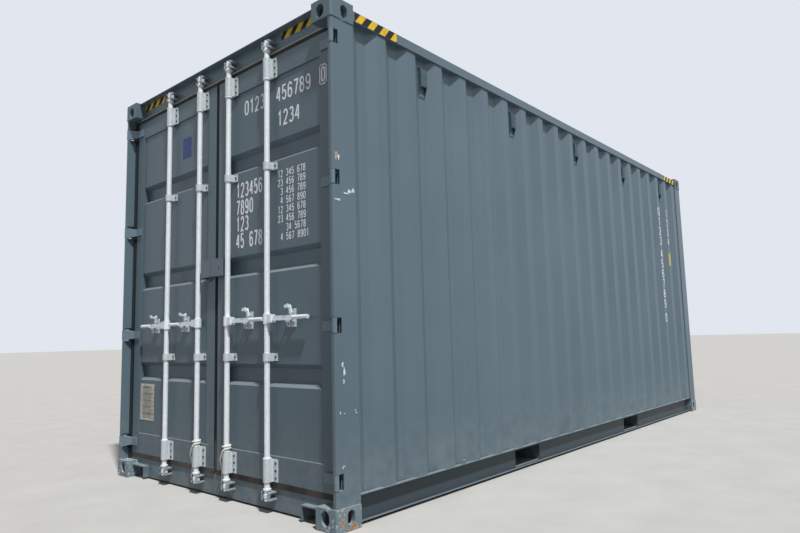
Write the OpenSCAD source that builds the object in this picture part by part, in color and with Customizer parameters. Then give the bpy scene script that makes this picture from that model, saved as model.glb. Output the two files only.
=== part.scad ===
// Twenty foot high cube dry freight container with two rear door leaves.
// Millimetres. x runs along the length with the doors at minus x, y runs
// across with the right-hand side at minus y, and z rises from the underside
// of the corner castings. In most sections u is the distance in from the rear
// plane of the castings, and v is the distance in from their side plane.

/* [Overall] */
// Length over the corner castings
length = 6058; // [5400:1:9100]
// Width over the corner castings
width = 2438; // [2400:1:2600]
// Height over the corner castings
height = 2896; // [2850:1:2960]

/* [Corner castings] */
// Length of a casting along the container
casting_l = 178; // [170:1:190]
// Width of a casting across the container
casting_w = 162; // [155:1:170]
// Height of a casting
casting_h = 118; // [112:1:126]
// Radius of the outer upright edge
casting_edge_r = 14; // [6:1:24]
// Thickness of the two outer walls
casting_wall_t = 28; // [24:1:30]
// Thickness of the two inner walls
casting_back_t = 12; // [8:1:16]
// Thickness of the plate with the twistlock slot
casting_plate_t = 27; // [22:1:28]
// Thickness of the plate opposite the slot
casting_lid_t = 11; // [8:1:16]
// Distance of the twistlock slot from the end plane
slot_from_end = 102.5; // [100:0.5:105]
// Distance of the twistlock slot from the side plane
slot_from_side = 89.5; // [86:0.5:92]
// Length of the twistlock slot
slot_l = 124; // [120:0.5:126]
// Width of the twistlock slot
slot_w = 63.5; // [60:0.5:66]
// Height of the holes in the end and side walls
wall_hole_h = 79; // [76:0.5:80]
// Width of the hole in the end wall
end_hole_w = 63.5; // [58:0.5:66]
// Width of the hole in the side wall
side_hole_w = 51; // [46:0.5:56]

/* [Rear posts] */
// Setback of posts and rails from the faces of the castings
frame_setback = 5; // [4:0.5:7]
// Thickness of the outer pressing
post_t = 6; // [5:0.5:8]
// Width of the rear-facing nose of the pressing
nose_w = 25; // [24:1:28]
// Radius of the outer upright edge of the posts
post_edge_r = 10; // [7:0.5:12]
// Thickness of the inner channel
post_channel_t = 12; // [9:0.5:14]
// Distance of the door opening from the side plane
opening_from_side = 60; // [56:1:62]

/* [Doors] */
// Setback of the outer face of the leaves from the rear plane
leaf_setback = 72; // [70:1:76]
// Thickness of a leaf
leaf_t = 50; // [46:1:60]
// Gap between a leaf and its post
hinge_gap = 18; // [16:1:22]
// Gap between the two leaves
seam_gap = 30; // [26:1:34]
// Gap above and below a leaf
leaf_end_gap = 22; // [21:1:24]
// Width of the upright tubes of a leaf
stile_w = 100; // [90:1:120]
// Height of the bottom channel of a leaf
leaf_foot_h = 148; // [130:1:170]
// Height of the top channel of a leaf
leaf_head_h = 130; // [110:1:150]
// Wall of the tubes and channels of a leaf
leaf_frame_t = 4; // [3:0.5:6]
// Thickness of the leaf sheet
leaf_sheet_t = 2; // [1.6:0.1:3]
// Setback of the sheet from the outer face of the leaf frame
leaf_sheet_set = 8; // [2:0.5:9]
// Depth of the pressed channels in the sheet
leaf_channel_d = 36; // [25:1:40]
// Height of a pressed channel at the sheet's outer face
leaf_channel_h = 134; // [110:1:150]
// Height of each sloping side of a pressed channel
leaf_channel_slope = 27; // [15:1:40]
// Height of the lowest pressed channel's centre
leaf_channel_z = 780; // [720:1:840]
// Depth of the highest pressed channel's centre below the top of the castings
leaf_channel_drop = 753; // [700:1:800]
// Number of pressed channels
leaf_channel_n = 3; // [2:1:3]
// How far the gasket stands out above and below a leaf
gasket_out = 16; // [10:0.5:16]
// How far the gasket stands out at the sides of a leaf
gasket_side = 10; // [6:0.5:10]
// Width of the gasket on the edge of a leaf
gasket_w = 26; // [16:1:30]
// Setback of the gasket from the outer face of the leaf
gasket_set = 4; // [3:0.5:10]
// Reach of the lip that hangs under a leaf in front of the sill
gasket_lip = 34; // [28:1:35]
// Thickness of the lip
gasket_lip_t = 3; // [2:0.5:4]

/* [Hinges] */
// Distance of the hinge axis from the rear plane and the side plane
hinge_in = 16; // [15:0.5:18]
// Radius of a hinge barrel
barrel_r = 14; // [12:0.5:15]
// Height of a hinge barrel
barrel_h = 78; // [70:1:95]
// Radius of a hinge pin
hinge_pin_r = 7; // [5:0.5:9]
// Radial clearance of a hinge pin
hinge_pin_clear = 0.5; // [0.3:0.1:0.8]
// Height of the lowest hinge
hinge_z = 252; // [240:1:260]
// Depth of the highest hinge below the top of the castings
hinge_drop = 231; // [225:1:260]
// Number of hinges on a leaf
hinge_n = 4; // [2:1:4]
// Clearance of a barrel above and below
hinge_end_clear = 2.5; // [2:0.5:4]
// Depth of the notch that clears a hinge
notch_d = 58; // [54:1:60]
// Thickness of a hinge lug
lug_t = 14; // [10:1:18]
// Thickness of a hinge blade
blade_t = 10; // [8:1:12]
// Length of the blade that lies on the leaf
blade_on_leaf = 84; // [60:1:95]
// Height of the blade on the leaf
blade_h = 56; // [40:1:70]
// Thickness of the plate that closes the corner beside a hinge
corner_plate_t = 8; // [5:1:10]

/* [Locking gear] */
// Distance of the bar axis from the rear plane
bar_in = 40; // [39:0.5:41]
// Radius of a locking bar
bar_r = 17; // [14:0.5:19]
// Distance of the two inner bars from the centre line
inner_bar_y = 175; // [160:1:200]
// Distance of the two outer bars from the centre line
outer_bar_y = 590; // [560:1:620]
// Radial clearance of a bar in its brackets
bar_clear = 0.6; // [0.4:0.1:1]
// Height of the centre of the lower keeper
keeper_z = 98; // [94:1:104]
// Depth of the centre of the upper keeper below the top of the castings
keeper_drop = 75; // [70:1:82]
// Height of a keeper
keeper_h = 48; // [44:1:54]
// Half the width of a keeper
keeper_half_w = 40; // [38:1:44]
// Thickness of each of a keeper's two jaws
keeper_jaw_t = 9; // [7:1:11]
// Distance of a keeper's front from the rear plane
keeper_front = 20; // [18:1:24]
// Radius of a keeper's front corners
keeper_corner_r = 14; // [8:1:15]
// Thickness of the lip that holds the cam's nose
keeper_lip_t = 8; // [6:0.5:8]
// Reach of the cam's nose from the bar axis
cam_reach = 34; // [32:0.5:35]
// Thickness of the cam's nose
cam_nose_t = 14; // [10:1:16]
// Radius of the cam's hub
cam_hub_r = 21; // [19:0.5:22]
// Clearance of a cam in its keeper
cam_clear = 5; // [5:0.5:6]
// Height of the lower bearing brackets
bearing_z = 238; // [235:1:260]
// Height of the lower guide brackets
guide_z = 888; // [860:1:900]
// Depth of the upper guide brackets below the top of the castings
guide_drop = 849; // [840:1:870]
// Depth of the upper bearing brackets below the top of the castings
bearing_drop = 227; // [222:1:240]
// Height of a bearing bracket
bearing_h = 126; // [80:1:130]
// Height of a guide bracket
guide_h = 46; // [30:1:60]
// Reach of a bearing bracket's flange from the bar axis
bearing_flange = 62; // [50:1:70]
// Reach of a guide bracket's flange from the bar axis
guide_flange = 52; // [44:1:60]
// Reach of the brackets' plates to the other side
bracket_foot = 32; // [26:1:40]
// Thickness of the brackets' plates
bracket_t = 8; // [6:1:10]
// Radius of the straps and collars round a bar
collar_r = 24; // [21:0.5:25]
// Height of a collar
collar_h = 9; // [6:1:14]

/* [Handles] */
// Height of the handles
handle_z = 1115; // [1080:1:1160]
// Distance of the handle pivot from the bar axis
handle_pivot = 42; // [40:1:50]
// Reach of a handle from the bar axis
handle_reach = 370; // [340:1:385]
// Height of the flat arm of a handle
handle_h = 28; // [22:1:32]
// Thickness of the flat arm of a handle
handle_t = 12; // [10:0.5:14]
// Radius of the grip
grip_r = 12; // [8:0.5:13]
// Distance of the retainer from the bar axis
retainer_at = 200; // [180:1:230]
// Radius of the small pivot pins
small_pin_r = 6; // [4:0.5:7]
// Clearance of the small pivots
small_clear = 0.5; // [0.3:0.1:0.8]
// Height of a catch's pivot above the handle's centre line
catch_pivot = 30; // [28:1:34]
// Lean of an open catch past the vertical
catch_lean = 15; // [10:1:20]
// Width of a catch
catch_w = 21; // [16:1:24]
// Length of a catch above its pivot
catch_l = 36; // [30:1:40]
// Thickness of a catch
catch_t = 7; // [5:0.5:8]
// Radius of the holes for a seal
seal_hole_r = 5; // [4:0.5:6]
// Radius of the eye under a retainer
eye_r = 17; // [14:1:20]

/* [Lock box] */
// Height of the lock box's centre
lock_z = 1471; // [1440:1:1500]
// Height of the lock box
lock_h = 116; // [100:1:130]
// Width of each half of the lock box
lock_w = 115; // [100:1:125]
// Distance of the lock box's front from the rear plane
lock_front = 25; // [22:1:30]
// Half the gap between the halves of the lock box
lock_gap = 3; // [3:0.5:5]
// Wall of the lock box
lock_t = 4; // [3:0.5:5]
// Radius of the staple under the lock box
staple_r = 22; // [16:1:24]

/* [Data plate] */
// Width of the data plate
plate_w = 203; // [150:1:220]
// Height of the data plate
plate_h = 268; // [200:1:300]
// Height of the data plate's centre
plate_z = 552; // [500:1:600]
// Thickness of the data plate
plate_t = 2; // [1:0.5:4]

/* [Tie ropes] */
// Radius of the tie ropes
rope_r = 5; // [4:0.5:6]

/* [Frame rails] */
// Wall of the header and the sill
rail_t = 4.5; // [3:0.5:6]
// Setback of the header and sill faces from the rear plane
rail_setback = 80; // [78:1:84]
// Height of the underside of the rails above the ground
rail_lift = 17; // [12.5:0.5:20]
// Height of the underside of the sill above the ground
sill_lift = 13; // [12.5:0.5:20]
// Height of the top of the sill
sill_top = 150; // [148:1:156]
// Height of the header
header_h = 124; // [122:1:130]
// Reach of the lip under the header
header_lip = 14; // [6:1:16]
// Thickness of the lip under the header
header_lip_t = 8; // [4:1:9]
// Reach of the top plate of the header in front of its face
header_brow = 49; // [10:1:70]
// Drop of the header below the tops of the corner castings
top_drop = 6; // [6:0.5:10]
// Drop of the top rails and the roof below the tops of the corner castings
rail_drop = 28; // [12:1:32]
// Side of the square top rails
top_rail_w = 60; // [50:1:60]
// Wall of the square top rails
top_rail_t = 3; // [2.5:0.5:5]
// Height of the top of the bottom side rails
side_rail_top = 165; // [160:1:170]
// Width of the top flange of the bottom side rails
side_rail_flange = 48; // [46:1:50]
// Width of the bottom flange of the bottom side rails
side_rail_foot = 30; // [25:1:40]
// Setback of the top flange of the bottom side rails from the side plane
side_rail_setback = 8; // [6:1:10]
// Width of the sill recesses beside the castings
recess_w = 161; // [140:1:180]
// Depth of the sill recesses behind the face of the sill
recess_d = 50; // [40:1:85]
// Height of the top of the sill recesses
recess_top = 86; // [70:1:90]
// Distance of the recesses' frames from the rear plane
recess_front = 40; // [30:1:70]
// Thickness of the recesses' frames
recess_t = 8; // [5:1:10]
// Distance of the rope hooks from the middle of the container
hook_x = 1900; // [1600:10:2200]
// Radius of the rope hooks' bars
hook_r = 4; // [3:0.5:5]
// Span of a rope hook
hook_l = 36; // [30:1:50]
// Gap left for a weld between plates
seam = 0.3; // [0.1:0.1:0.5]

/* [Walls and roof] */
// Thickness of the wall and roof sheets
sheet_t = 2; // [1.6:0.1:3]
// Setback of the outer flats of the side walls from the side plane
wall_setback = 14; // [12:1:16]
// Depth of the side wall corrugation
wall_d = 36; // [25:1:36]
// Spacing of the side wall corrugation
wall_pitch = 283; // [275:1:290]
// Flat of a side wall between the rear post and the first slope
wall_start = 4; // [2:1:40]
// Width of the recessed flats of the side walls
wall_recess_w = 70; // [50:1:80]
// Width of the sloping faces of the side walls
wall_slope_w = 68; // [50:1:70]
// Depth of the front wall corrugation
front_d = 45; // [30:1:46]
// Spacing of the front wall corrugation
front_pitch = 250; // [240:1:260]
// Width of the recessed flats of the front wall
front_recess_w = 110; // [90:1:120]
// Width of the sloping faces of the front wall
front_slope_w = 18; // [12:1:24]
// Setback of the outer flats of the front wall from the front plane
front_setback = 16; // [12:1:20]
// Depth of the roof corrugation
roof_d = 20; // [12:1:30]
// Spacing of the roof corrugation
roof_pitch = 209; // [200:1:220]
// Width of the front posts' faces
front_post_w = 100; // [90:1:110]

/* [Floor] */
// Height of the top of the floor
floor_top = 172; // [168:1:176]
// Thickness of the floor boards
floor_t = 28; // [24:1:30]
// Number of floor boards along the container
board_n = 5; // [3:1:8]
// Joint between floor boards
board_joint = 2; // [1:0.5:4]
// Width of the flanges of the cross members
cross_flange = 45; // [35:1:60]
// Wall of the cross members
cross_t = 4; // [3:0.5:6]
// Spacing of the cross members
cross_pitch = 280; // [260:1:290]

/* [Fork pockets] */
// Spacing of the fork pockets' centres
pocket_pitch = 2050; // [2000:1:2100]
// Clear width of a fork pocket
pocket_w = 360; // [300:1:400]
// Clear height of a fork pocket
pocket_h = 115; // [100:1:116]
// Width of the straps under the ends of a fork pocket
pocket_strap_w = 200; // [150:1:260]
// Thickness of the straps
pocket_strap_t = 5; // [4:1:8]

/* [Ventilators] */
// Height of a ventilator
vent_h = 180; // [150:1:220]
// Drop of the ventilators below the top rails
vent_drop = 73; // [20:1:120]
// Rise of a ventilator's slanted underside from the wall to its front
vent_slant = 65; // [20:1:90]
// Height of the flanges above and below a ventilator
vent_flange = 12; // [8:1:20]
// Depth of a ventilator
vent_d = 25; // [18:1:30]
// Wall of a ventilator
vent_t = 2.5; // [2:0.5:4]

/* [Hidden] */
$fn = 48;
rear = -length / 2;
front = length / 2;
right = -width / 2;
left = width / 2;
post_top = height - casting_h;
opening_top = height - top_drop - header_h;
leaf_bottom = sill_top + leaf_end_gap;
leaf_top = opening_top - leaf_end_gap;
leaf_hinge_v = opening_from_side + hinge_gap;
leaf_hinge_y = right + leaf_hinge_v;
leaf_free_y = -seam_gap / 2;
leaf_x = rear + leaf_setback;
leaf_sheet_x = leaf_x + leaf_sheet_set;
rail_x = rear + rail_setback;
front_in = front_setback + front_d + 10;
nose_v = frame_setback + nose_w;
bar_x = rear + bar_in;
hinge_x = rear + hinge_in;
hinge_y = right + hinge_in;
hinge_pitch = (height - hinge_drop - hinge_z) / (hinge_n - 1);
leaf_channel_pitch = (height - leaf_channel_drop - leaf_channel_z) / (leaf_channel_n - 1);
notch_h = barrel_h + 2 * hinge_end_clear;
casting_hole_z = (casting_plate_t + casting_h - casting_lid_t) / 2;
floor_bottom = floor_top - floor_t;
side_rail_in = side_rail_setback + side_rail_flange;
top_rail_in = frame_setback + top_rail_w;
top_rail_z = height - rail_drop - top_rail_w;
upper_keeper_z = height - keeper_drop;
cam_half_h = keeper_h / 2 - keeper_jaw_t - cam_clear;
bar_bottom = keeper_z - keeper_h / 2 - 4;
bar_top = upper_keeper_z + keeper_h / 2 + 4;
wall_n = floor((length - 2 * casting_l - wall_start - wall_recess_w
    - 2 * wall_slope_w) / wall_pitch) + 1;

paint = [0.36, 0.42, 0.45];
zinc = [0.78, 0.81, 0.83];

// A box between two opposite corners
module block(low, high) {
    translate(low) cube(high - low);
}

// An outline in x and y, raised between two heights
module upright(z0, z1) {
    translate([0, 0, z0]) linear_extrude(z1 - z0) children();
}

// An outline in y and z, carried along x
module along_x(x0, x1) {
    translate([x0, 0, 0]) rotate([90, 0, 90]) linear_extrude(x1 - x0) children();
}

// An outline in x and z, carried along y
module along_y(y0, y1) {
    translate([0, y1, 0]) rotate([90, 0, 0]) linear_extrude(y1 - y0) children();
}

// A rectangle between two opposite corners
module area(low, high) {
    translate(low) square(high - low);
}

// A slot with round ends, along x
module slot(long, wide) {
    square([long - wide, wide], center = true);
    for (end = [-1, 1]) translate([end * (long - wide) / 2, 0]) circle(d = wide);
}

// The piece and its mirror image on the left-hand side
module both_sides() {
    children();
    mirror([0, 1, 0]) children();
}

// The piece and its mirror image at the front end
module both_ends() {
    children();
    mirror([1, 0, 0]) children();
}

// Square with one rounded corner at the origin
module edged_area(size, r) {
    difference() {
        square(size);
        difference() {
            translate([-1, -1]) square(r + 1);
            translate([r, r]) circle(r);
        }
    }
}

// Corner casting with its outer corner at the origin
module corner_casting() {
    difference() {
        linear_extrude(casting_h)
            edged_area([casting_l, casting_w], casting_edge_r);
        block([casting_wall_t, casting_wall_t, casting_plate_t],
            [casting_l - casting_back_t, casting_w - casting_back_t,
             casting_h - casting_lid_t]);
        translate([slot_from_end, slot_from_side, -1])
            linear_extrude(casting_plate_t + 2) slot(slot_l, slot_w);
        translate([-1, slot_from_side, casting_hole_z]) rotate([90, 0, 90])
            linear_extrude(casting_wall_t + 2) rotate(90)
            slot(wall_hole_h, end_hole_w);
        translate([slot_from_end, casting_wall_t + 1, casting_hole_z])
            rotate([90, 0, 0]) linear_extrude(casting_wall_t + 2) rotate(90)
            slot(wall_hole_h, side_hole_w);
    }
}

module castings_bottom() {
    color(paint) both_ends() both_sides()
        translate([rear, right, 0]) corner_casting();
}

module castings_top() {
    color(paint) translate([0, 0, height]) mirror([0, 0, 1])
        both_ends() both_sides()
        translate([rear, right, 0]) corner_casting();
}

// Plain blocks in the place of the castings, to cut what fits round them
module casting_places() {
    for (z = [0, post_top]) both_ends() both_sides()
        block([rear - 1, right - 1, z - (z == 0 ? 1 : 0)],
            [rear + casting_l, right + casting_w, z + casting_h + (z == 0 ? 0 : 1)]);
}

// Plan of the right rear post: a pressing with a nose and a heavy channel
module rear_post_plan() {
    s = frame_setback;
    difference() {
        union() {
            area([s, s], [casting_l, s + post_t]);
            area([s, s], [s + post_t, nose_v]);
            area([s, nose_v - post_t], [leaf_setback, nose_v]);
            area([leaf_setback - post_t, nose_v], [leaf_setback, opening_from_side]);
            area([leaf_setback, nose_v - post_t],
                [leaf_setback + post_channel_t, opening_from_side]);
            area([leaf_setback, opening_from_side - post_channel_t],
                [casting_l, opening_from_side]);
            area([casting_l - post_channel_t, s],
                [casting_l, opening_from_side]);
        }
        translate([s, s]) difference() {
            translate([-1, -1]) square(post_edge_r + 1);
            translate([post_edge_r, post_edge_r]) circle(post_edge_r);
        }
    }
}

// Solid lug that closes the nose of the post above a barrel
module hinge_lug() {
    inner_v = opening_from_side - 2;
    inner_u = leaf_setback - post_t;
    linear_extrude(lug_t) difference() {
        area([frame_setback, frame_setback], [notch_d, nose_v]);
        translate([frame_setback, frame_setback]) difference() {
            translate([-1, -1]) square(post_edge_r + 1);
            translate([post_edge_r, post_edge_r]) circle(post_edge_r);
        }
    }
    translate([0, 0, lug_t - corner_plate_t]) linear_extrude(corner_plate_t)
        polygon([[hinge_in, nose_v - 1], [inner_u, nose_v - 1], [inner_u, inner_v],
                 [inner_u - 16, inner_v], [hinge_in, nose_v + 2]]);
}

module rear_post() {
    translate([rear, right, 0]) {
        difference() {
            union() {
                upright(casting_h, post_top) rear_post_plan();
                for (i = [0 : hinge_n - 1])
                    translate([0, 0, hinge_z + i * hinge_pitch])
                        for (side = [0, 1]) mirror([0, 0, side])
                            translate([0, 0, notch_h / 2]) hinge_lug();
            }
            for (i = [0 : hinge_n - 1])
                translate([0, 0, hinge_z + i * hinge_pitch])
                    block([-1, -1, -notch_h / 2],
                        [notch_d, frame_setback + nose_w + 1, notch_h / 2]);
        }
        for (i = [0 : hinge_n - 1])
            translate([hinge_in, hinge_in, hinge_z + i * hinge_pitch])
                cylinder(r = hinge_pin_r, h = notch_h + lug_t, center = true);
    }
}

module rear_post_right() { color(paint) rear_post(); }
module rear_post_left() { color(paint) mirror([0, 1, 0]) rear_post(); }

// Plan of a front post, with its outer corner at the origin
module front_post_plan() {
    s = frame_setback;
    difference() {
        union() {
            area([s, s], [casting_l - post_t, s + post_t]);
            area([s, s], [s + post_t, front_post_w]);
            area([s, front_post_w - post_t], [front_in, front_post_w]);
            area([casting_l - post_t, s],
                [casting_l, wall_setback + wall_d + sheet_t]);
        }
        translate([s, s]) difference() {
            translate([-1, -1]) square(post_edge_r + 1);
            translate([post_edge_r, post_edge_r]) circle(post_edge_r);
        }
    }
}

module front_posts() {
    color(paint) both_sides() mirror([1, 0, 0]) translate([rear, right, 0])
        upright(casting_h, post_top) front_post_plan();
}

module door_header() {
    z0 = opening_top;
    z1 = height - top_drop;
    t = rail_t;
    color(paint) difference() {
        along_y(right + opening_from_side, left - opening_from_side)
            translate([rear, 0]) difference() {
                union() {
                    area([rail_setback, z0], [casting_l, z1]);
                    area([rail_setback - header_lip, z0], [rail_setback, z0 + header_lip_t]);
                    area([rail_setback - header_brow, z1 - t], [rail_setback, z1]);
                }
                area([rail_setback + t, z0 + t], [casting_l - t, z1 - t]);
            }
        casting_places();
    }
}

module door_sill() {
    z0 = sill_lift;
    t = rail_t;
    y1 = right + casting_w;
    y2 = y1 + recess_w;
    color(paint) difference() {
        union() {
            along_y(right + opening_from_side, left - opening_from_side)
                translate([rear, 0]) difference() {
                    area([rail_setback, z0], [casting_l, sill_top]);
                    area([rail_setback + t, z0 + t], [casting_l - t, sill_top - t]);
                }
            both_sides() block([rear + recess_front, y1, z0],
                [rail_x + recess_d + t, y2 + recess_t, recess_top + recess_t]);
        }
        both_sides() block([rear, y1 - 1, z0 - 1],
            [rail_x + recess_d, y2, recess_top]);
        casting_places();
    }
}

// Section of a square top rail, with its outer corner setback from the origin
module top_rail_section() {
    t = top_rail_t;
    difference() {
        area([frame_setback, top_rail_z], [top_rail_in, top_rail_z + top_rail_w]);
        area([frame_setback + t, top_rail_z + t],
            [top_rail_in - t, top_rail_z + top_rail_w - t]);
    }
}

module top_rails() {
    color(paint) {
        both_sides() along_x(rear + casting_l, front - casting_l)
            translate([right, 0]) top_rail_section();
        mirror([1, 0, 0]) along_y(right + casting_w, left - casting_w)
            translate([rear, 0]) top_rail_section();
    }
}

// Places of the two fork pockets along the container
module at_pockets() {
    for (side = [-1, 1]) translate([side * pocket_pitch / 2, 0, 0]) children();
}

// Rail across the closed front end, open towards the inside
module front_bottom_rail() {
    t = rail_t;
    s = frame_setback;
    mirror([1, 0, 0])
        along_y(right + casting_w, left - casting_w) translate([rear, 0]) {
            area([s, rail_lift], [s + t, side_rail_top]);
            area([s, side_rail_top - t], [front_in, side_rail_top]);
            area([s, rail_lift], [front_in, rail_lift + t]);
        }
}

// Section of a bottom side rail, open towards the outside
module side_rail_section() {
    t = rail_t;
    translate([right, 0]) {
        area([side_rail_setback, side_rail_top - t], [side_rail_in, side_rail_top]);
        area([side_rail_in - t, rail_lift], [side_rail_in, side_rail_top]);
        area([side_rail_in - side_rail_foot, rail_lift], [side_rail_in, rail_lift + t]);
    }
}

// The rail in three lengths, with a lintel and a strap where a pocket passes
module bottom_side_rail() {
    pocket_top = rail_lift + pocket_strap_t + pocket_h;
    pocket_in = pocket_pitch / 2 - pocket_w / 2;
    pocket_out = pocket_pitch / 2 + pocket_w / 2;
    along_x(-pocket_in, pocket_in) side_rail_section();
    both_ends() along_x(rear + casting_l, -pocket_out) side_rail_section();
    at_pockets() along_x(seam - pocket_w / 2, pocket_w / 2 - seam)
        intersection() {
            side_rail_section();
            union() {
                area([right, pocket_top], [0, side_rail_top]);
                area([right, 0], [0, rail_lift + pocket_strap_t]);
            }
        }
}

// Small bent bar on a side rail, to tie a cover's rope to
module rope_hook() {
    rise = hook_l * 0.6;
    translate([-hook_x, right + side_rail_setback + hook_r, side_rail_top]) {
        for (side = [-1, 1]) translate([side * (hook_l / 2 - hook_r), 0, 0])
            cylinder(r = hook_r, h = rise);
        translate([-hook_l / 2, 0, rise]) rotate([0, 90, 0])
            cylinder(r = hook_r, h = hook_l);
    }
}

module bottom_rails() {
    color(paint) {
        front_bottom_rail();
        both_sides() {
            bottom_side_rail();
            rope_hook();
        }
    }
}

// Centre of the wall recess with this number, counted from the doors
function recess_x(i) = rear + casting_l + wall_start + wall_slope_w
    + wall_recess_w / 2 + i * wall_pitch;

// Plan of the outer face of the right side wall
function wall_path() = [
    [rear + casting_l, wall_setback],
    for (i = [0 : wall_n - 1])
        for (p = [[-wall_recess_w / 2 - wall_slope_w, 0], [-wall_recess_w / 2, wall_d],
                  [wall_recess_w / 2, wall_d], [wall_recess_w / 2 + wall_slope_w, 0]])
            [recess_x(i) + p[0], wall_setback + p[1]],
    [front - casting_l, wall_setback]
];

// A path thickened by a sheet's thickness along y
module sheet(path, t) {
    n = len(path);
    polygon([for (i = [0 : n - 1]) path[i],
             for (i = [n - 1 : -1 : 0]) path[i] + [0, t]]);
}

module side_wall() {
    color(paint) upright(side_rail_top, top_rail_z) translate([0, right])
        sheet(wall_path(), sheet_t);
}

module side_wall_right() { side_wall(); }
module side_wall_left() { mirror([0, 1, 0]) side_wall(); }

// Profile across the front wall: position along y, then depth
front_n = floor((width - 2 * front_post_w - 40) / front_pitch);
function front_path() = [
    [right + front_post_w, front_setback],
    for (i = [0 : front_n - 1])
        for (p = [[-front_recess_w / 2 - front_slope_w, 0], [-front_recess_w / 2, front_d],
                  [front_recess_w / 2, front_d], [front_recess_w / 2 + front_slope_w, 0]])
            [(i - (front_n - 1) / 2) * front_pitch + p[0], front_setback + p[1]],
    [left - front_post_w, front_setback]
];

module front_wall() {
    color(paint) difference() {
        upright(side_rail_top, top_rail_z) translate([front, 0]) rotate(90)
            sheet(front_path(), sheet_t);
        casting_places();
    }
}

// Profile along the roof: position along x, then height
roof_x0 = rear + casting_l;
roof_x1 = front - top_rail_in;
roof_n = floor((roof_x1 - roof_x0) / roof_pitch);
roof_top = height - rail_drop - 1 - sheet_t;
function roof_path() = [
    [roof_x0, roof_top],
    for (i = [0 : roof_n - 1])
        for (p = [[-52, 0], [-35, -roof_d], [35, -roof_d], [52, 0]])
            [(roof_x0 + roof_x1) / 2 + (i - (roof_n - 1) / 2) * roof_pitch + p[0],
             roof_top + p[1]],
    [roof_x1, roof_top]
];

// The sheet ends at the front castings, and a strip goes on between them
module roof_panel() {
    strip_x = front - casting_l;
    color(paint) difference() {
        along_y(right + top_rail_in, left - top_rail_in) sheet(roof_path(), sheet_t);
        casting_places();
        block([strip_x - seam, right, top_rail_z - 1], [strip_x, left, height]);
    }
}

floor_x0 = rear + casting_l;
floor_x1 = front - front_in;
board_l = (floor_x1 - floor_x0 - (board_n - 1) * board_joint) / board_n;

module floor_boards() {
    color([0.5, 0.33, 0.2]) for (i = [0 : board_n - 1])
        translate([floor_x0 + i * (board_l + board_joint), right + side_rail_in, floor_bottom])
            cube([board_l, width - 2 * side_rail_in, floor_t]);
}

// Section of a cross member: a channel with its web at x = 0
module cross_section() {
    h0 = rail_lift + pocket_strap_t;
    area([0, h0], [cross_t, floor_bottom]);
    area([0, floor_bottom - cross_t], [cross_flange, floor_bottom]);
    area([0, h0], [cross_flange, h0 + cross_t]);
}

// Number of cross members between the pockets and in each end bay
middle_n = floor((pocket_pitch - pocket_w - 2 * cross_flange) / cross_pitch);
end_bay = length / 2 - casting_l - pocket_pitch / 2 - pocket_w / 2 - 2 * cross_flange;
end_n = floor(end_bay / cross_pitch);

module cross_members() {
    color(paint) {
        for (i = [0 : middle_n - 1])
            along_y(right + side_rail_in, left - side_rail_in)
                translate([(i - (middle_n - 1) / 2) * cross_pitch - cross_flange / 2, 0])
                cross_section();
        both_ends() for (i = [0 : end_n - 1])
            along_y(right + side_rail_in, left - side_rail_in)
                translate([-pocket_pitch / 2 - pocket_w / 2 - cross_flange
                    - (i + 0.85) * cross_pitch, 0])
                cross_section();
    }
}

module fork_pockets() {
    h0 = rail_lift + pocket_strap_t;
    h1 = h0 + pocket_h;
    y0 = right + side_rail_in;
    color(paint) at_pockets() {
        along_y(y0, -y0) {
            for (side = [0, 1]) mirror([side, 0]) translate([pocket_w / 2, 0])
                cross_section();
            area([seam - pocket_w / 2, h1], [pocket_w / 2 - seam, floor_bottom - seam]);
        }
        both_sides() block([-pocket_w / 2 - cross_flange, y0, rail_lift],
            [pocket_w / 2 + cross_flange, y0 + pocket_strap_w, h0 - seam]);
    }
}

// Hood with a slanted, open underside that stands in a wall recess
module ventilator() {
    w = wall_recess_w - 6;
    difference() {
        block([-w / 2, -vent_d, -vent_h], [w / 2, 0, 0]);
        block([-w / 2 + vent_t, -vent_d + vent_t, -vent_h - 1],
            [w / 2 - vent_t, 1, -vent_t]);
        along_x(-w, w) polygon([[-vent_d - 1, -vent_h - 1], [-vent_t, -vent_h - 1],
            [-vent_t, -vent_h], [-vent_d, vent_slant - vent_h],
            [-vent_d - 1, vent_slant - vent_h]]);
    }
    for (z = [0, -vent_h - vent_flange]) translate([0, 0, z])
        block([-w / 2, -vent_t, 0], [w / 2, 0, vent_flange]);
}

module ventilators() {
    color([0.5, 0.56, 0.6]) both_sides() for (i = [2 : 4 : wall_n - 1])
        translate([recess_x(i), right + wall_setback + wall_d, top_rail_z - vent_drop])
            ventilator();
}

// Plan of a keeper's jaw: a plate with round front corners
module keeper_plan() {
    w = keeper_half_w;
    r = keeper_corner_r;
    area([keeper_front + r, -w], [rail_setback, w]);
    area([keeper_front, r - w], [keeper_front + r, w - r]);
    for (side = [-1, 1]) translate([keeper_front + r, side * (w - r)]) circle(r);
}

// Keeper for a bar of the right leaf: two jaws that the bar lies between, and
// a lip that the cam's nose turns behind
module keeper() {
    notch = bar_r + cam_clear;
    for (side = [0, 1]) mirror([0, 0, side])
        upright(keeper_h / 2 - keeper_jaw_t, keeper_h / 2) difference() {
            keeper_plan();
            area([0, -notch], [bar_in, notch]);
            translate([bar_in, 0]) circle(notch);
        }
    upright(-keeper_h / 2, keeper_h / 2) intersection() {
        keeper_plan();
        area([keeper_front, cam_hub_r + cam_clear],
            [keeper_front + keeper_lip_t, keeper_half_w]);
    }
}

module cam_keepers() {
    color(zinc) both_sides() for (y = [-inner_bar_y, -outer_bar_y])
        for (z = [keeper_z, upper_keeper_z])
            translate([rear, y, z]) keeper();
}

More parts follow.
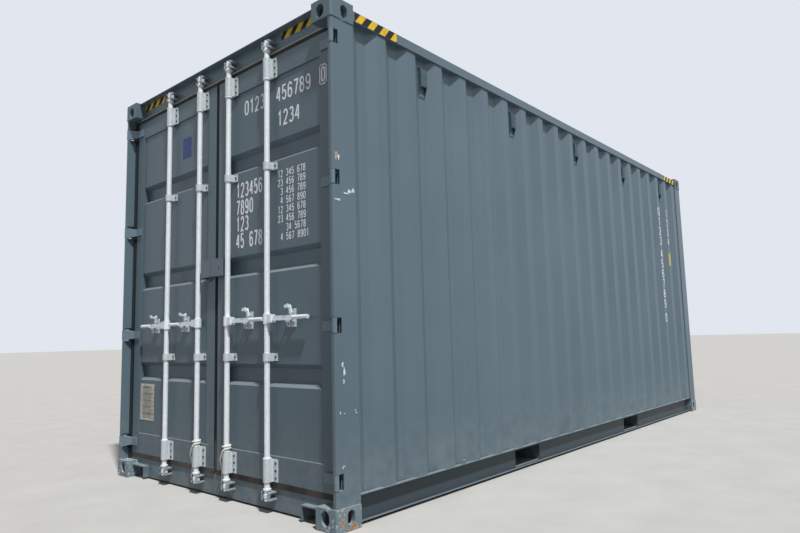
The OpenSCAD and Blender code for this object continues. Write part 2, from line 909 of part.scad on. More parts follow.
// The right leaf
module door_frame() {
    t = leaf_frame_t;
    y0 = leaf_hinge_y;
    y1 = leaf_free_y;
    z0 = leaf_bottom;
    z1 = leaf_top;
    x0 = leaf_x;
    x1 = leaf_x + leaf_t;
    color(paint) difference() {
        block([x0, y0, z0], [x1, y1, z1]);
        block([x0 - 1, y0 + stile_w, z0 + leaf_foot_h],
            [x1 + 1, y1 - stile_w, z1 - leaf_head_h]);
        for (y = [y0, y1 - stile_w])
            block([x0 + t, y + t, z0 + t], [x1 - t, y + stile_w - t, z1 - t]);
        for (z = [[z0, z0 + leaf_foot_h], [z1 - leaf_head_h, z1]])
            block([x0 + t, y0 + stile_w, z[0] + t], [x1 + 1, y1 - stile_w, z[1] - t]);
    }
}

// Profile of the leaf sheet: height, then depth from its outer face
function leaf_path() = [
    [leaf_bottom + leaf_foot_h, 0],
    for (i = [0 : leaf_channel_n - 1])
        for (p = [[-leaf_channel_h / 2, 0],
                  [-leaf_channel_h / 2 + leaf_channel_slope, leaf_channel_d],
                  [leaf_channel_h / 2 - leaf_channel_slope, leaf_channel_d],
                  [leaf_channel_h / 2, 0]])
            [leaf_channel_z + i * leaf_channel_pitch + p[0], p[1]],
    [leaf_top - leaf_head_h, 0]
];

module door_panel() {
    color(paint) along_y(leaf_hinge_y + stile_w, leaf_free_y - stile_w)
        translate([leaf_sheet_x, 0]) mirror([1, 0]) rotate(90)
        sheet(leaf_path(), leaf_sheet_t);
}

// Rubber ring round the right leaf, with a lip in front of the sill
module door_gasket() {
    g = gasket_out;
    x0 = leaf_x + gasket_set;
    color([0.12, 0.12, 0.12]) difference() {
        union() {
            block([x0, leaf_hinge_y - gasket_side, leaf_bottom - g],
                [x0 + gasket_w, leaf_free_y + gasket_side, leaf_top + g]);
            block([leaf_x, leaf_hinge_y, leaf_bottom - gasket_lip],
                [leaf_x + gasket_lip_t, leaf_free_y, leaf_bottom]);
            block([leaf_x, leaf_hinge_y, leaf_bottom - g], [x0 + 1, leaf_free_y, leaf_bottom]);
        }
        block([leaf_x - 1, leaf_hinge_y, leaf_bottom],
            [x0 + gasket_w + 1, leaf_free_y, leaf_top]);
    }
}

// Plan of a hinge blade, from the barrel to the face of the leaf
module blade_plan() {
    difference() {
        union() {
            translate([hinge_in, hinge_in]) circle(barrel_r);
            polygon([[20.9, 12.5], [58.9, 66.5], [leaf_setback, leaf_hinge_v + 4],
                [leaf_setback, leaf_hinge_v + blade_on_leaf],
                [leaf_setback - blade_t, leaf_hinge_v + blade_on_leaf],
                [leaf_setback - blade_t, leaf_hinge_v + 12], [49.1, 73.5], [11.1, 19.5]]);
        }
        translate([hinge_in, hinge_in]) circle(hinge_pin_r + hinge_pin_clear);
    }
}

module hinge_blades() {
    end_v = leaf_hinge_v + blade_on_leaf;
    color(paint) for (i = [0 : hinge_n - 1])
        translate([rear, right, hinge_z + i * hinge_pitch]) intersection() {
            upright(-barrel_h / 2, barrel_h / 2) blade_plan();
            along_x(0, leaf_setback + 1) polygon([
                [0, -barrel_h / 2], [nose_v + 4, -barrel_h / 2],
                [leaf_hinge_v, -blade_h / 2], [end_v, -blade_h / 2],
                [end_v, blade_h / 2], [leaf_hinge_v, blade_h / 2],
                [nose_v + 4, barrel_h / 2], [0, barrel_h / 2]]);
        }
}

// Bracket round a bar: a strap over the bar with a flange and a foot
module bar_bracket(h, flange, base) {
    difference() {
        upright(-h / 2, h / 2) {
            area([base - bracket_t, -flange], [base, bracket_foot]);
            area([0, -collar_r], [base, collar_r]);
            circle(collar_r);
        }
        upright(-h, h) circle(bar_r + bar_clear);
    }
}

// Brackets of a leaf; the flanges of both leaves point to the right-hand side
module bar_brackets(side) {
    for (y = [inner_bar_y, outer_bar_y]) translate([bar_x, side * y, 0]) {
        for (z = [bearing_z, height - bearing_drop]) translate([0, 0, z])
            bar_bracket(bearing_h, bearing_flange, leaf_x - bar_x);
        for (z = [guide_z, height - guide_drop]) translate([0, 0, z])
            bar_bracket(guide_h, guide_flange, leaf_sheet_x - bar_x);
    }
}

// Retainer that a handle of the right leaf lies in, with an eye under it
module handle_retainer() {
    seat = -handle_h / 2 - 0.3;
    base = leaf_setback + leaf_sheet_set;
    catch_u = bar_in + handle_t / 2 + 7;
    eye_z = seat - 10 - eye_r + 4;
    translate([rear, -retainer_at, 0]) {
        block([base - 8, -24, eye_z - eye_r], [base, 24, catch_pivot + 22]);
        block([bar_in - handle_t / 2 - 2, -20, seat - 10], [base - 8, 20, seat]);
        translate([bar_in, 0, eye_z]) rotate([0, 90, 0]) difference() {
            cylinder(r = eye_r, h = 9);
            translate([0, 0, -1]) cylinder(r = eye_r - 8, h = 11);
        }
        translate([catch_u - 1, 0, catch_pivot]) rotate([0, 90, 0])
            cylinder(r = small_pin_r - 1, h = base - 7 - catch_u);
    }
}

module bar_fittings_right() {
    color(zinc) {
        bar_brackets(-1);
        for (y = [-inner_bar_y, -outer_bar_y]) translate([0, y, handle_z])
            handle_retainer();
    }
}

module bar_fittings_left() {
    color(zinc) {
        bar_brackets(1);
        mirror([0, 1, 0]) for (y = [-inner_bar_y, -outer_bar_y])
            translate([0, y, handle_z]) handle_retainer();
    }
}

// Right half of the lock box, open below and towards the seam
module lock_box_half() {
    z0 = lock_z - lock_h / 2;
    z1 = lock_z + lock_h / 2;
    x0 = rear + lock_front;
    difference() {
        block([x0, -lock_gap - lock_w, z0], [leaf_x, -lock_gap, z1]);
        block([x0 + lock_t, -lock_gap - lock_w + lock_t, z0 - 1],
            [leaf_x - lock_t, 0, z1 - lock_t]);
    }
}

module lock_box_right() {
    color([0.4, 0.42, 0.45]) difference() {
        lock_box_half();
        translate([rear + lock_front - 1, 22 - lock_w, lock_z - 12]) rotate([90, 0, 90])
            linear_extrude(lock_t + 2) rotate(90) slot(30, 9);
    }
}

module lock_box_left() {
    color([0.4, 0.42, 0.45]) mirror([0, 1, 0]) {
        lock_box_half();
        translate([leaf_x - 12, -lock_w + 28, lock_z - lock_h / 2]) rotate([0, 90, 0])
            difference() {
                cylinder(r = staple_r, h = 12);
                translate([0, 0, -1]) cylinder(r = staple_r - 8, h = 14);
                translate([-2 * staple_r, -2 * staple_r, -1])
                    cube([2 * staple_r, 4 * staple_r, 14]);
            }
    }
}

module data_plate() {
    y1 = -leaf_hinge_y - stile_w - 5;
    color([0.75, 0.72, 0.65])
        block([leaf_sheet_x - plate_t, y1 - plate_w, plate_z - plate_h / 2],
            [leaf_sheet_x, y1, plate_z + plate_h / 2]);
}

// Route of a tie rope: distance from the rear plane, distance to the left of
// the bar axis, and height
rope_route = [
    [65, 1, 345], [57, -18, 342], [40, -25, 340], [23, -17, 339], [15, 0, 338],
    [23, 17, 336], [40, 25, 334], [57, 18, 332], [65, 0, 330], [57, -18, 328],
    [40, -25, 326], [23, -18, 324], [13, -10, 318], [9, -2, 306], [9, 6, 292],
    [10, 14, 276], [12, 24, 260], [18, 33, 246], [27, 40, 232], [35, 44, 212],
    [40, 46, 190], [42, 47, 168], [42, 48, 146], [41, 50, 124], [40, 52, 102],
    [40, 53, 88]
];
rope_sides = 10;

// Tube with this radius along a route of points
module tube(route, r, sides) {
    n = len(route);
    ring = [for (i = [0 : n - 1])
        let (d = route[min(i + 1, n - 1)] - route[max(i - 1, 0)],
             t = d / norm(d),
             side_raw = cross(t, [1, 0, 1]),
             a = side_raw / norm(side_raw),
             b = cross(t, a))
        [for (k = [0 : sides - 1])
            route[i] + r * (cos(360 * k / sides) * a + sin(360 * k / sides) * b)]];
    points = [for (i = [0 : n - 1]) for (k = [0 : sides - 1]) ring[i][k]];
    walls = [for (i = [0 : n - 2]) for (k = [0 : sides - 1])
        let (m = (k + 1) % sides)
        for (f = [[i * sides + k, i * sides + m, (i + 1) * sides + k],
                  [i * sides + m, (i + 1) * sides + m, (i + 1) * sides + k]]) f];
    first = [for (k = [sides - 1 : -1 : 0]) k];
    last = [for (k = [0 : sides - 1]) (n - 1) * sides + k];
    polyhedron(points = points, faces = concat([first], walls, [last]));
}

module tie_rope(y) {
    color([0.78, 0.76, 0.68]) translate([rear, y, 0])
        tube(rope_route, rope_r, rope_sides);
}
module tie_rope_right() { tie_rope(-inner_bar_y); }
module tie_rope_left() { tie_rope(inner_bar_y); }

// Locking bar of the right leaf with its cams, collars and handle hub
module locking_bar() {
    p = handle_pivot;
    difference() {
        union() {
            upright(bar_bottom, bar_top) circle(bar_r);
            for (z = [keeper_z, upper_keeper_z]) translate([0, 0, z])
                upright(-cam_half_h, cam_half_h) {
                    circle(cam_hub_r);
                    area([-cam_nose_t / 2, 0], [cam_nose_t / 2, cam_reach]);
                }
            for (z = [bearing_z + bearing_h / 2 + 1.5, keeper_z + keeper_h / 2 + 8,
                      height - bearing_drop - bearing_h / 2 - 1.5 - collar_h,
                      upper_keeper_z - keeper_h / 2 - 8 - collar_h])
                translate([0, 0, z]) cylinder(r = collar_r, h = collar_h);
            translate([0, 0, handle_z]) {
                block([-18, -p - 14, -24], [18, 0, 24]);
                cylinder(r = collar_r, h = 60, center = true);
            }
        }
        translate([0, 0, handle_z])
            block([-handle_t / 2 - small_clear, -p - 15, -25],
                [handle_t / 2 + small_clear, -collar_r - 1, 25]);
    }
    translate([0, -p, handle_z]) rotate([0, 90, 0])
        cylinder(r = small_pin_r, h = 36, center = true);
}

module bar_at(y) { color(zinc) translate([bar_x, y, 0]) locking_bar(); }
module locking_bar_1() { mirror([0, 1, 0]) bar_at(-outer_bar_y); }
module locking_bar_2() { mirror([0, 1, 0]) bar_at(-inner_bar_y); }
module locking_bar_3() { bar_at(-inner_bar_y); }
module locking_bar_4() { bar_at(-outer_bar_y); }

// Handle of the right leaf, flat at the hub and round at the grip
module bar_handle() {
    p = handle_pivot;
    flat_end = retainer_at + 40;
    difference() {
        union() {
            block([-handle_t / 2, -flat_end, -handle_h / 2], [handle_t / 2, -p, handle_h / 2]);
            translate([0, -p, 0]) rotate([0, 90, 0])
                cylinder(r = handle_h / 2, h = handle_t, center = true);
        }
        translate([0, -p, 0]) rotate([0, 90, 0])
            cylinder(r = small_pin_r + small_clear, h = handle_t + 2, center = true);
    }
    translate([0, -flat_end, 0]) rotate([90, 0, 0])
        cylinder(r = grip_r, h = handle_reach - flat_end);
}

module handle_at(y) { color(zinc) translate([bar_x, y, handle_z]) bar_handle(); }
module bar_handle_1() { mirror([0, 1, 0]) handle_at(-outer_bar_y); }
module bar_handle_2() { mirror([0, 1, 0]) handle_at(-inner_bar_y); }
module bar_handle_3() { handle_at(-inner_bar_y); }
module bar_handle_4() { handle_at(-outer_bar_y); }

// Catch of the right leaf, standing up past the vertical, with a seal hole
module handle_catch() {
    x0 = bar_in + handle_t / 2 + 7;
    front_x = bar_in - handle_t / 2 - 12;
    w = catch_w / 2;
    translate([rear, -retainer_at, catch_pivot]) rotate([-catch_lean, 0, 0]) {
        translate([x0, 0, 0]) rotate([90, 0, 90]) linear_extrude(catch_t) difference() {
            union() {
                circle(12);
                area([-w, 0], [w, catch_l]);
                translate([0, catch_l]) circle(w);
            }
            circle(small_pin_r - 1 + small_clear);
            translate([0, catch_l]) circle(seal_hole_r);
        }
        block([front_x, -9, catch_l - 9], [x0, 9, catch_l - 1]);
        block([front_x, -28, catch_l - 9], [front_x + 6, 9, catch_l + 7]);
    }
}

module catch_at(y) { color(zinc) translate([0, y, handle_z]) handle_catch(); }
module handle_catch_1() { mirror([0, 1, 0]) catch_at(-outer_bar_y); }
module handle_catch_2() { mirror([0, 1, 0]) catch_at(-inner_bar_y); }
module handle_catch_3() { catch_at(-inner_bar_y); }
module handle_catch_4() { catch_at(-outer_bar_y); }

castings_bottom();
castings_top();
rear_post_right();
rear_post_left();
front_posts();
door_header();
door_sill();
top_rails();
bottom_rails();
side_wall_right();
side_wall_left();
front_wall();
roof_panel();
floor_boards();
cross_members();
fork_pockets();
ventilators();
cam_keepers();
door_frame();  // door_frame_right
door_panel();  // door_panel_right
door_gasket();  // door_gasket_right
hinge_blades();  // hinge_blades_right
bar_fittings_right();
lock_box_right();
tie_rope_right();
mirror([0, 1, 0]) door_frame();  // door_frame_left
mirror([0, 1, 0]) door_panel();  // door_panel_left
mirror([0, 1, 0]) door_gasket();  // door_gasket_left
mirror([0, 1, 0]) hinge_blades();  // hinge_blades_left
bar_fittings_left();
lock_box_left();
tie_rope_left();
data_plate();
locking_bar_1();
locking_bar_2();
locking_bar_3();
locking_bar_4();
bar_handle_1();
bar_handle_2();
bar_handle_3();
bar_handle_4();
handle_catch_1();
handle_catch_2();
handle_catch_3();
handle_catch_4();
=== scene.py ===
# %% [markdown]
# # Dressing a freight container
#
# The solid model of the container comes from CAD, in metres, with the doors at
# minus x, the right-hand side at minus y and z up. This lesson gives it its looks:
# a camera, materials made only of maths, small parts such as bolts, films, ropes
# and weld beads, and soft light.
#
# Every new part is a surface computed with numpy.

import math

import bpy
import numpy as np
from mathutils import Matrix, Vector


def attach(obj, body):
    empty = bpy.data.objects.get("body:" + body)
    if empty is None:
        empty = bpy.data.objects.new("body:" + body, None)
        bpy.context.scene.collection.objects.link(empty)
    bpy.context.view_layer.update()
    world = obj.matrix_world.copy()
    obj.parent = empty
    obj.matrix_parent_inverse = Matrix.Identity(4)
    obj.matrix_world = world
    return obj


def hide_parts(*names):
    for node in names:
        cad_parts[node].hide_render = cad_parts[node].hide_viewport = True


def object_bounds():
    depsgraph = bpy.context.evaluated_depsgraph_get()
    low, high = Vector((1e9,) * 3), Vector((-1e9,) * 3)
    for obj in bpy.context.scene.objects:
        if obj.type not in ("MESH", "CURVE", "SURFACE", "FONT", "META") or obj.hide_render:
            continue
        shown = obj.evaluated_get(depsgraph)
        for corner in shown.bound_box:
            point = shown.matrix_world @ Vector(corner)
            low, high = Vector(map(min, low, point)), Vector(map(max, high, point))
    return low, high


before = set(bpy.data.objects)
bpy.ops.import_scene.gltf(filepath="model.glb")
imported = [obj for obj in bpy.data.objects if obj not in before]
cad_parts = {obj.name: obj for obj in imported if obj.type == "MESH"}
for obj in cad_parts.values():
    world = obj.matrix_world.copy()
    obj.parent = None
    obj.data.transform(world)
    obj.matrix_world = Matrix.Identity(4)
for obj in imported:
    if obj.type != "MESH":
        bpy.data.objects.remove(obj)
cad_low, cad_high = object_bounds()

# %% [markdown]
# ## Sizes that the parts share
#
# A container is a welded frame, and its two door leaves stand a little behind the
# frame's rear face. Each new part could hold numbers of its own, but then a bolt
# and its bracket would soon drift apart. So the overall box is read from the loaded
# model, and the faces and bars inside it are written once, here.

# %% Shared sizes
REAR, RIGHT = (round(v, 4) for v in cad_low[:2])
FRONT, LEFT, TOP = (round(v, 4) for v in cad_high)
FRAME_SETBACK = 0.005  # from the castings' faces to the posts and top rails
CASTING_L, CASTING_H = 0.178, 0.118
LEAF_X = REAR + 0.072  # outer face of a leaf's frame
SHEET_X = REAR + 0.080  # outer face of a leaf's sheet
HEADER_X = REAR + 0.080  # rear face of the header
LIP_X = REAR + 0.066  # edge of the lip under the header
WALL_Y = RIGHT + 0.014  # outermost face of the right wall
FLOOR_Z = 0.172
RAIL_LOW, RAIL_TOP = 2.808, 2.868  # of the top rails
BARS = {1: 0.590, 2: 0.175, 3: -0.175, 4: -0.590}  # y of each locking bar
BEARINGS, GUIDES = (0.238, 2.669), (0.888, 2.047)  # z of the large and small brackets
FILM_LIFT = 0.0004  # a film lies this far in front of its steel
print("container:", FRONT - REAR, "x", LEFT - RIGHT, "x", TOP, "m")

# %% [markdown]
# ## The camera
#
# The camera stands where the photograph was taken and looks the same way, with the
# doors' end and the right-hand side in view. A camera can be aimed by hand in the
# viewport, but numbers can be fitted to the container's corners and kept. Its axes
# come from three angles: azimuth, elevation and roll.

# %% Camera
AZIMUTH, ELEVATION, ROLL = -0.8546, -0.1143, -0.0254
CAMERA_AT = (-5.2435, -3.6111, 0.9844)
FOCAL_PX, IMAGE_W, SENSOR_W = 617.67, 800, 36.0
CLIP_END = 500.0


def camera_matrix():
    """Turns the three angles into the camera's axes: back, right and up, then rolls them."""
    sa, ca = math.sin(AZIMUTH), math.cos(AZIMUTH)
    se, ce = math.sin(ELEVATION), math.cos(ELEVATION)
    back = Vector((sa * ce, -ca * ce, se))
    right = Vector((0, 0, 1)).cross(back).normalized()
    up = back.cross(right)
    cr, sr = math.cos(ROLL), math.sin(ROLL)
    axes = (cr * right + sr * up, cr * up - sr * right, back)
    m = Matrix([(a.x, a.y, a.z) for a in axes]).transposed().to_4x4()
    m.translation = CAMERA_AT
    return m


camera = bpy.data.objects.new("camera", bpy.data.cameras.new("camera"))
bpy.context.collection.objects.link(camera)
camera.data.sensor_width = SENSOR_W
camera.data.lens = FOCAL_PX / IMAGE_W * SENSOR_W
camera.data.clip_end = CLIP_END
camera.matrix_world = camera_matrix()
bpy.context.scene.camera = camera
bpy.context.scene.view_settings.view_transform = "Standard"
print("lens:", round(camera.data.lens, 2), "mm")

# %% [markdown]
# ## Surfaces as functions
#
# Bolts, ropes and beads could be modelled by hand from cylinders. Here each one is a
# grid of points computed from two parameters, because a formula can be read, changed
# and repeated. `skin` joins the rows of a grid into four-sided faces, for the whole
# array at once, and `copies` does it for many equal grids.


# %% Surface helpers
def make_object(name, verts, faces, body=None, mat=None, smooth=True):
    """Builds one object at the origin from arrays of points and of four-cornered faces."""
    mesh = bpy.data.meshes.new(name)
    mesh.from_pydata(np.asarray(verts).tolist(), [], np.asarray(faces).tolist())
    mesh.polygons.foreach_set("use_smooth", np.full(len(mesh.polygons), smooth))
    if mat:
        mesh.materials.append(mat)
    mesh.update()
    obj = bpy.data.objects.new(name, mesh)
    bpy.context.collection.objects.link(obj)
    if body:
        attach(obj, body)
    return obj


def skin(rows, cols, wrap):
    """Corner numbers of the faces between neighbouring points of a rows by cols grid."""
    i = np.arange(rows - 1)[:, None]
    j = np.arange(cols if wrap else cols - 1)[None, :]
    k = (j + 1) % cols
    return np.stack([i * cols + j, i * cols + k, (i + 1) * cols + k, (i + 1) * cols + j],
                    axis=-1).reshape(-1, 4)


def copies(faces, count, points):
    """Corner numbers of count equal grids: each one's are those before plus its points."""
    shift = np.arange(count)[:, None, None] * points
    return (faces[None] + shift).reshape(-1, 4)


def around(count):
    """Equal angles of one full turn, in radians."""
    return np.arange(count) * 2 * np.pi / count


def tube_grid(path, radius, side):
    """Points of a tube: each path point plus radius times a turning pair of normals.

    The first normal is the cross product of the path's direction with the vector
    side, the second is the cross product of the direction with the first.
    """
    along = np.gradient(path, axis=0)
    along /= np.linalg.norm(along, axis=1, keepdims=True)
    a = np.cross(along, side)
    a /= np.linalg.norm(a, axis=1, keepdims=True)
    b = np.cross(along, a)
    angle = around(radius.shape[1])
    spoke = np.cos(angle)[None, :, None] * a[:, None] + np.sin(angle)[None, :, None] * b[:, None]
    return path[:, None] + radius[..., None] * spoke


print("surface helpers ready")

# %% [markdown]
# ## The tie ropes
#
# A thin laid rope is wound round the foot of each inner bar, and its end hangs down
# beside the bar. A curve with a round bevel would give a smooth hose. Here the
# radius depends on the angle and on the length gone, so that three strands twist
# round the route. The route itself is a list of points in millimetres, the same one
# as in the CAD model, and a smooth curve passes through them.

# %% Tie ropes
ROPE_MM = [
    (65, 1, 345), (57, -18, 342), (40, -25, 340), (23, -17, 339), (15, 0, 338),
    (23, 17, 336), (40, 25, 334), (57, 18, 332), (65, 0, 330), (57, -18, 328),
    (40, -25, 326), (23, -18, 324), (13, -10, 318), (9, -2, 306), (9, 6, 292),
    (10, 14, 276), (12, 24, 260), (18, 33, 246), (27, 40, 232), (35, 44, 212),
    (40, 46, 190), (42, 47, 168), (42, 48, 146), (41, 50, 124), (40, 52, 102),
    (40, 53, 88),
]
ROPE_R, ROPE_LAY, STRANDS, STRAND_DEPTH = 0.005, 0.034, 3, 0.16
ROPE_STEPS, ROPE_SIDES = 12, 24
ACROSS_ROPE, ACROSS_BEADS = (1, 0, 1), (0.3, 0.5, 0.8)  # no path ever runs this way
TINY = 1e-6  # a tip closes to a tiny ring, so that its last normals stay sound


def smooth_route(points, steps):
    """A curve through the points: in each span the cubic whose slope at an end is half
    the difference of that end's two neighbours."""
    p = np.vstack([2 * points[0] - points[1], points, 2 * points[-1] - points[-2]])
    t = np.linspace(0, 1, steps, endpoint=False)[None, :, None]
    a, b, c, d = (p[i:len(p) - 3 + i, None] for i in range(4))
    curve = 0.5 * (2 * b + (c - a) * t + (2 * a - 5 * b + 4 * c - d) * t ** 2
                   + (3 * b - a - 3 * c + d) * t ** 3)
    return np.vstack([curve.reshape(-1, 3), points[-1:]])


def rope_piece(name, cad_node, bar_y, body):
    """Laid rope: the radius is R (1 - d + d |cos(strands / 2 (angle - twist))|), where d is
    the strands' depth, the twist is one turn for each lay length, and the ends are round."""
    route = np.array(ROPE_MM, float) / 1000 + (REAR, bar_y, 0)
    line = smooth_route(route, ROPE_STEPS)
    gone = np.concatenate([[0], np.cumsum(np.linalg.norm(np.diff(line, axis=0), axis=1))])
    twist = 2 * np.pi * gone / ROPE_LAY
    wave = np.abs(np.cos(0.5 * STRANDS * (around(ROPE_SIDES)[None] - twist[:, None])))
    lobes = 1 - STRAND_DEPTH + STRAND_DEPTH * wave
    near_end = np.minimum(gone, gone[-1] - gone) / ROPE_R
    tip = np.sqrt(np.clip(1 - (1 - np.clip(near_end, 0, 1)) ** 2, TINY, 1))
    grid = tube_grid(line, ROPE_R * lobes * tip[:, None], ACROSS_ROPE)
    obj = make_object(name, grid.reshape(-1, 3), skin(len(line), ROPE_SIDES, True), body)
    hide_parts(cad_node)
    print(name, "length", round(float(gone[-1]), 3), "m")
    return obj


ropes = [rope_piece("rope_right", "tie_rope_right", BARS[3], "right_door"),
         rope_piece("rope_left", "tie_rope_left", BARS[2], "left_door")]

# %% [markdown]
# ## A short way to write shader nodes
#
# A material is a graph of nodes. It could be drawn in the shader editor, but then
# its recipe can't be read in a text. `node` adds one step to the graph and feeds its
# inputs, so that each finish below reads from top to bottom. All patterns start
# from Object coordinates, which are metres here: a noise of scale 90 has ninety
# blobs in a metre, on every part alike.


# %% Shader nodes
def feed(tree, socket, value):
    """Joins another node's output to a socket, or sets it to a constant."""
    if isinstance(value, bpy.types.NodeSocket):
        tree.links.new(value, socket)
    elif socket.type == "RGBA":
        socket.default_value = (*value, 1.0)
    else:
        socket.default_value = value


def node(tree, kind, inputs=None, **settings):
    """Adds a shader node, sets its properties and feeds its inputs with values or sockets."""
    n = tree.nodes.new("ShaderNode" + kind)
    for key, value in settings.items():
        setattr(n, key, value)
    for key, value in (inputs or {}).items():
        feed(tree, n.inputs[key], value)
    return n


def object_place(tree):
    """Object coordinates: the place of each point, in metres."""
    return node(tree, "TexCoord").outputs["Object"]


def stretched(tree, scale):
    """Object coordinates multiplied axis by axis."""
    return node(tree, "Mapping", {"Vector": object_place(tree), "Scale": scale}).outputs[0]


def noise(tree, scale, stretch=(1, 1, 1), detail=4.0, rough=0.55, warp=0.0):
    """Fractal noise over object coordinates: scale is the number of blobs in a metre."""
    return node(tree, "TexNoise", {"Vector": stretched(tree, stretch), "Scale": scale,
                                   "Detail": detail, "Roughness": rough,
                                   "Distortion": warp}).outputs[0]


def axis(tree, index):
    """One of the object coordinates: 0 is x, 1 is y and 2 is z, in metres."""
    return node(tree, "SeparateXYZ", {"Vector": object_place(tree)}).outputs[index]


def band(tree, value, low, high, out=(0.0, 1.0)):
    """Maps low..high to the two values of out, held level beyond them."""
    return node(tree, "MapRange", {"Value": value, "From Min": low, "From Max": high,
                                   "To Min": out[0], "To Max": out[1]}).outputs[0]


def maths(tree, operation, a, b=0.0):
    """One step of arithmetic on two values."""
    return node(tree, "Math", {0: a, 1: b}, operation=operation).outputs[0]


def mixed(tree, factor, a, b):
    """Blends two colours by a factor. These sockets share a name, so they go by number."""
    return node(tree, "Mix", {0: factor, 6: a, 7: b}, data_type="RGBA").outputs[2]


print("shader nodes ready")

# %% [markdown]
# ## How a material starts and ends
#
# Blender's own surface shader does for every finish here, from rubber to zinc. Only
# its colour, roughness and bump differ, so one function sets it up and another one
# feeds it, and the recipe between them is all that a finish has to say.


# %% A material's start and end
def tone(colour, factor):
    """A colour made darker or lighter."""
    return tuple(c * factor for c in colour)


def material(name, metallic=0.0, specular=0.5):
    """An empty material: its tree and its shader, with the constants set on the shader."""
    m = bpy.data.materials.new(name)
    m.use_nodes = True
    shader = m.node_tree.nodes["Principled BSDF"]
    shader.inputs["Metallic"].default_value = metallic
    shader.inputs["Specular IOR Level"].default_value = specular
    return m, m.node_tree, shader


def finish(tree, shader, colour, roughness, height=None, strength=0.3, distance=0.001):
    """Feeds the shader with a colour, a roughness and a height that becomes a bump."""
    feed(tree, shader.inputs["Base Color"], colour)
    feed(tree, shader.inputs["Roughness"], roughness)
    if height is not None:
        bump = node(tree, "Bump", {"Height": height, "Strength": strength,
                                   "Distance": distance})
        tree.links.new(bump.outputs[0], shader.inputs["Normal"])


print("materials can be started and finished")

# %% [markdown]
# ## Paint
#
# The container is sprayed a satin blue grey. In use, dust lies on the paint in clouds, rain draws
# faint upright streaks, water splashes the lowest part, and knocks break off chips that rust later.
# Every ledge gets a pale colour that is partly dust and partly a painted highlight. A scanned
# picture of paint would show such marks, but always in the same places. Noise that passes a
# threshold puts them anywhere, at their true size, and each of the functions below adds one kind of
# mark to the colour.

# %% How paint ages
PAINT = (0.108, 0.160, 0.193)
# The second colour lightens up-facing faces: partly settled dust, partly a painted highlight.
DUST, LEDGE_DUST_AND_HIGHLIGHT = (0.40, 0.38, 0.34), (0.44, 0.47, 0.48)
CHIP = (0.62, 0.66, 0.66)
RUST, RUST_PALE = (0.19, 0.092, 0.046), (0.50, 0.36, 0.25)
# Here and below, each kind of noise is named with its number of blobs in a metre.
CLOUDS, STREAKS, SPLASHES, SPECKS, PATCHES, RUST_GRAINS = 1.1, 9.0, 14.0, 55.0, 9.0, 16.0
RAGGED_EDGE = 60.0
SPLASH_TOP = 0.55


def aged(tree, base):
    """Paint under clouds, streaks, splashes and dust, and the clouds for later use.

    A pale colour, partly settled dust and partly a painted highlight, lies where the height of the
    surface's normal says that it looks up.
    """
    cloud = band(tree, noise(tree, CLOUDS, detail=5.0), 0.35, 0.75)
    streak = band(tree, noise(tree, STREAKS, stretch=(1, 1, 0.06), detail=3.0), 0.45, 0.8)
    dusted = tuple(c * 1.12 + 0.004 for c in base)
    colour = mixed(tree, cloud, tone(base, 0.97), dusted)
    colour = mixed(tree, maths(tree, "MULTIPLY", streak, 0.35), colour, tone(base, 0.84))
    low = maths(tree, "MULTIPLY", band(tree, axis(tree, 2), SPLASH_TOP, 0.0),
                band(tree, noise(tree, SPLASHES, detail=6.0), 0.35, 0.7))
    colour = mixed(tree, maths(tree, "MULTIPLY", low, 0.30), colour, DUST)
    # Up-facing faces get a pale colour: partly settled dust, partly a painted highlight.
    normal = node(tree, "TexCoord").outputs["Normal"]
    upward = node(tree, "SeparateXYZ", {"Vector": normal}).outputs[2]
    dust_and_highlight = band(tree, upward, 0.35, 0.75, (0.0, 0.30))
    return mixed(tree, dust_and_highlight, colour, LEDGE_DUST_AND_HIGHLIGHT), cloud


def chipped(tree, colour, speck, chips):
    """Pale chips where specks pass a threshold, inside patches that pass another one.
    The amount of chips lowers both thresholds."""
    patch = noise(tree, PATCHES, detail=3.0)
    bare = maths(tree, "MULTIPLY", band(tree, speck, 0.72 - chips, 0.74 - chips),
                 band(tree, patch, 0.60 - chips, 0.66 - chips))
    return mixed(tree, bare, colour, CHIP)


def spot(tree, centre, radius):
    """1 within a radius of a point and 0 beyond it, with an edge that noise makes ragged."""
    far = node(tree, "VectorMath", {0: object_place(tree), 1: centre},
               operation="DISTANCE").outputs["Value"]
    wander = band(tree, noise(tree, RAGGED_EDGE, detail=6.0, rough=0.7), 0.3, 0.7,
                  (-0.6 * radius, 0.6 * radius))
    return band(tree, maths(tree, "ADD", far, wander), radius * 1.08, radius * 0.95)


def rusted(tree, colour, speck, rust, spots):
    """Rust, pale to brown, in grains that pass a threshold and in the spots of a list."""
    tint = mixed(tree, band(tree, speck, 0.35, 0.65), RUST, RUST_PALE)
    if rust:
        grain = noise(tree, RUST_GRAINS, detail=8.0, rough=0.65)
        colour = mixed(tree, band(tree, grain, 0.68 - rust, 0.74 - rust), colour, tint)
    for centre, radius in spots:
        colour = mixed(tree, spot(tree, centre, radius), colour, tint)
    return colour


def groove_painted_shade(tree, colour, base, inner, outer, shade, x_end=FRONT + 1):
    """Painted shade inside a groove: the base times shade where the distance from the middle plane
    is below inner, none of it beyond outer, and only up to x_end."""
    inside = band(tree, maths(tree, "ABSOLUTE", axis(tree, 1)), outer, inner)
    up_to = band(tree, axis(tree, 0), x_end, x_end - 0.01)
    return mixed(tree, maths(tree, "MULTIPLY", inside, up_to), colour, tone(base, shade))


print("marks on paint: clouds, streaks, splashes, dust, chips, rust and grooves")
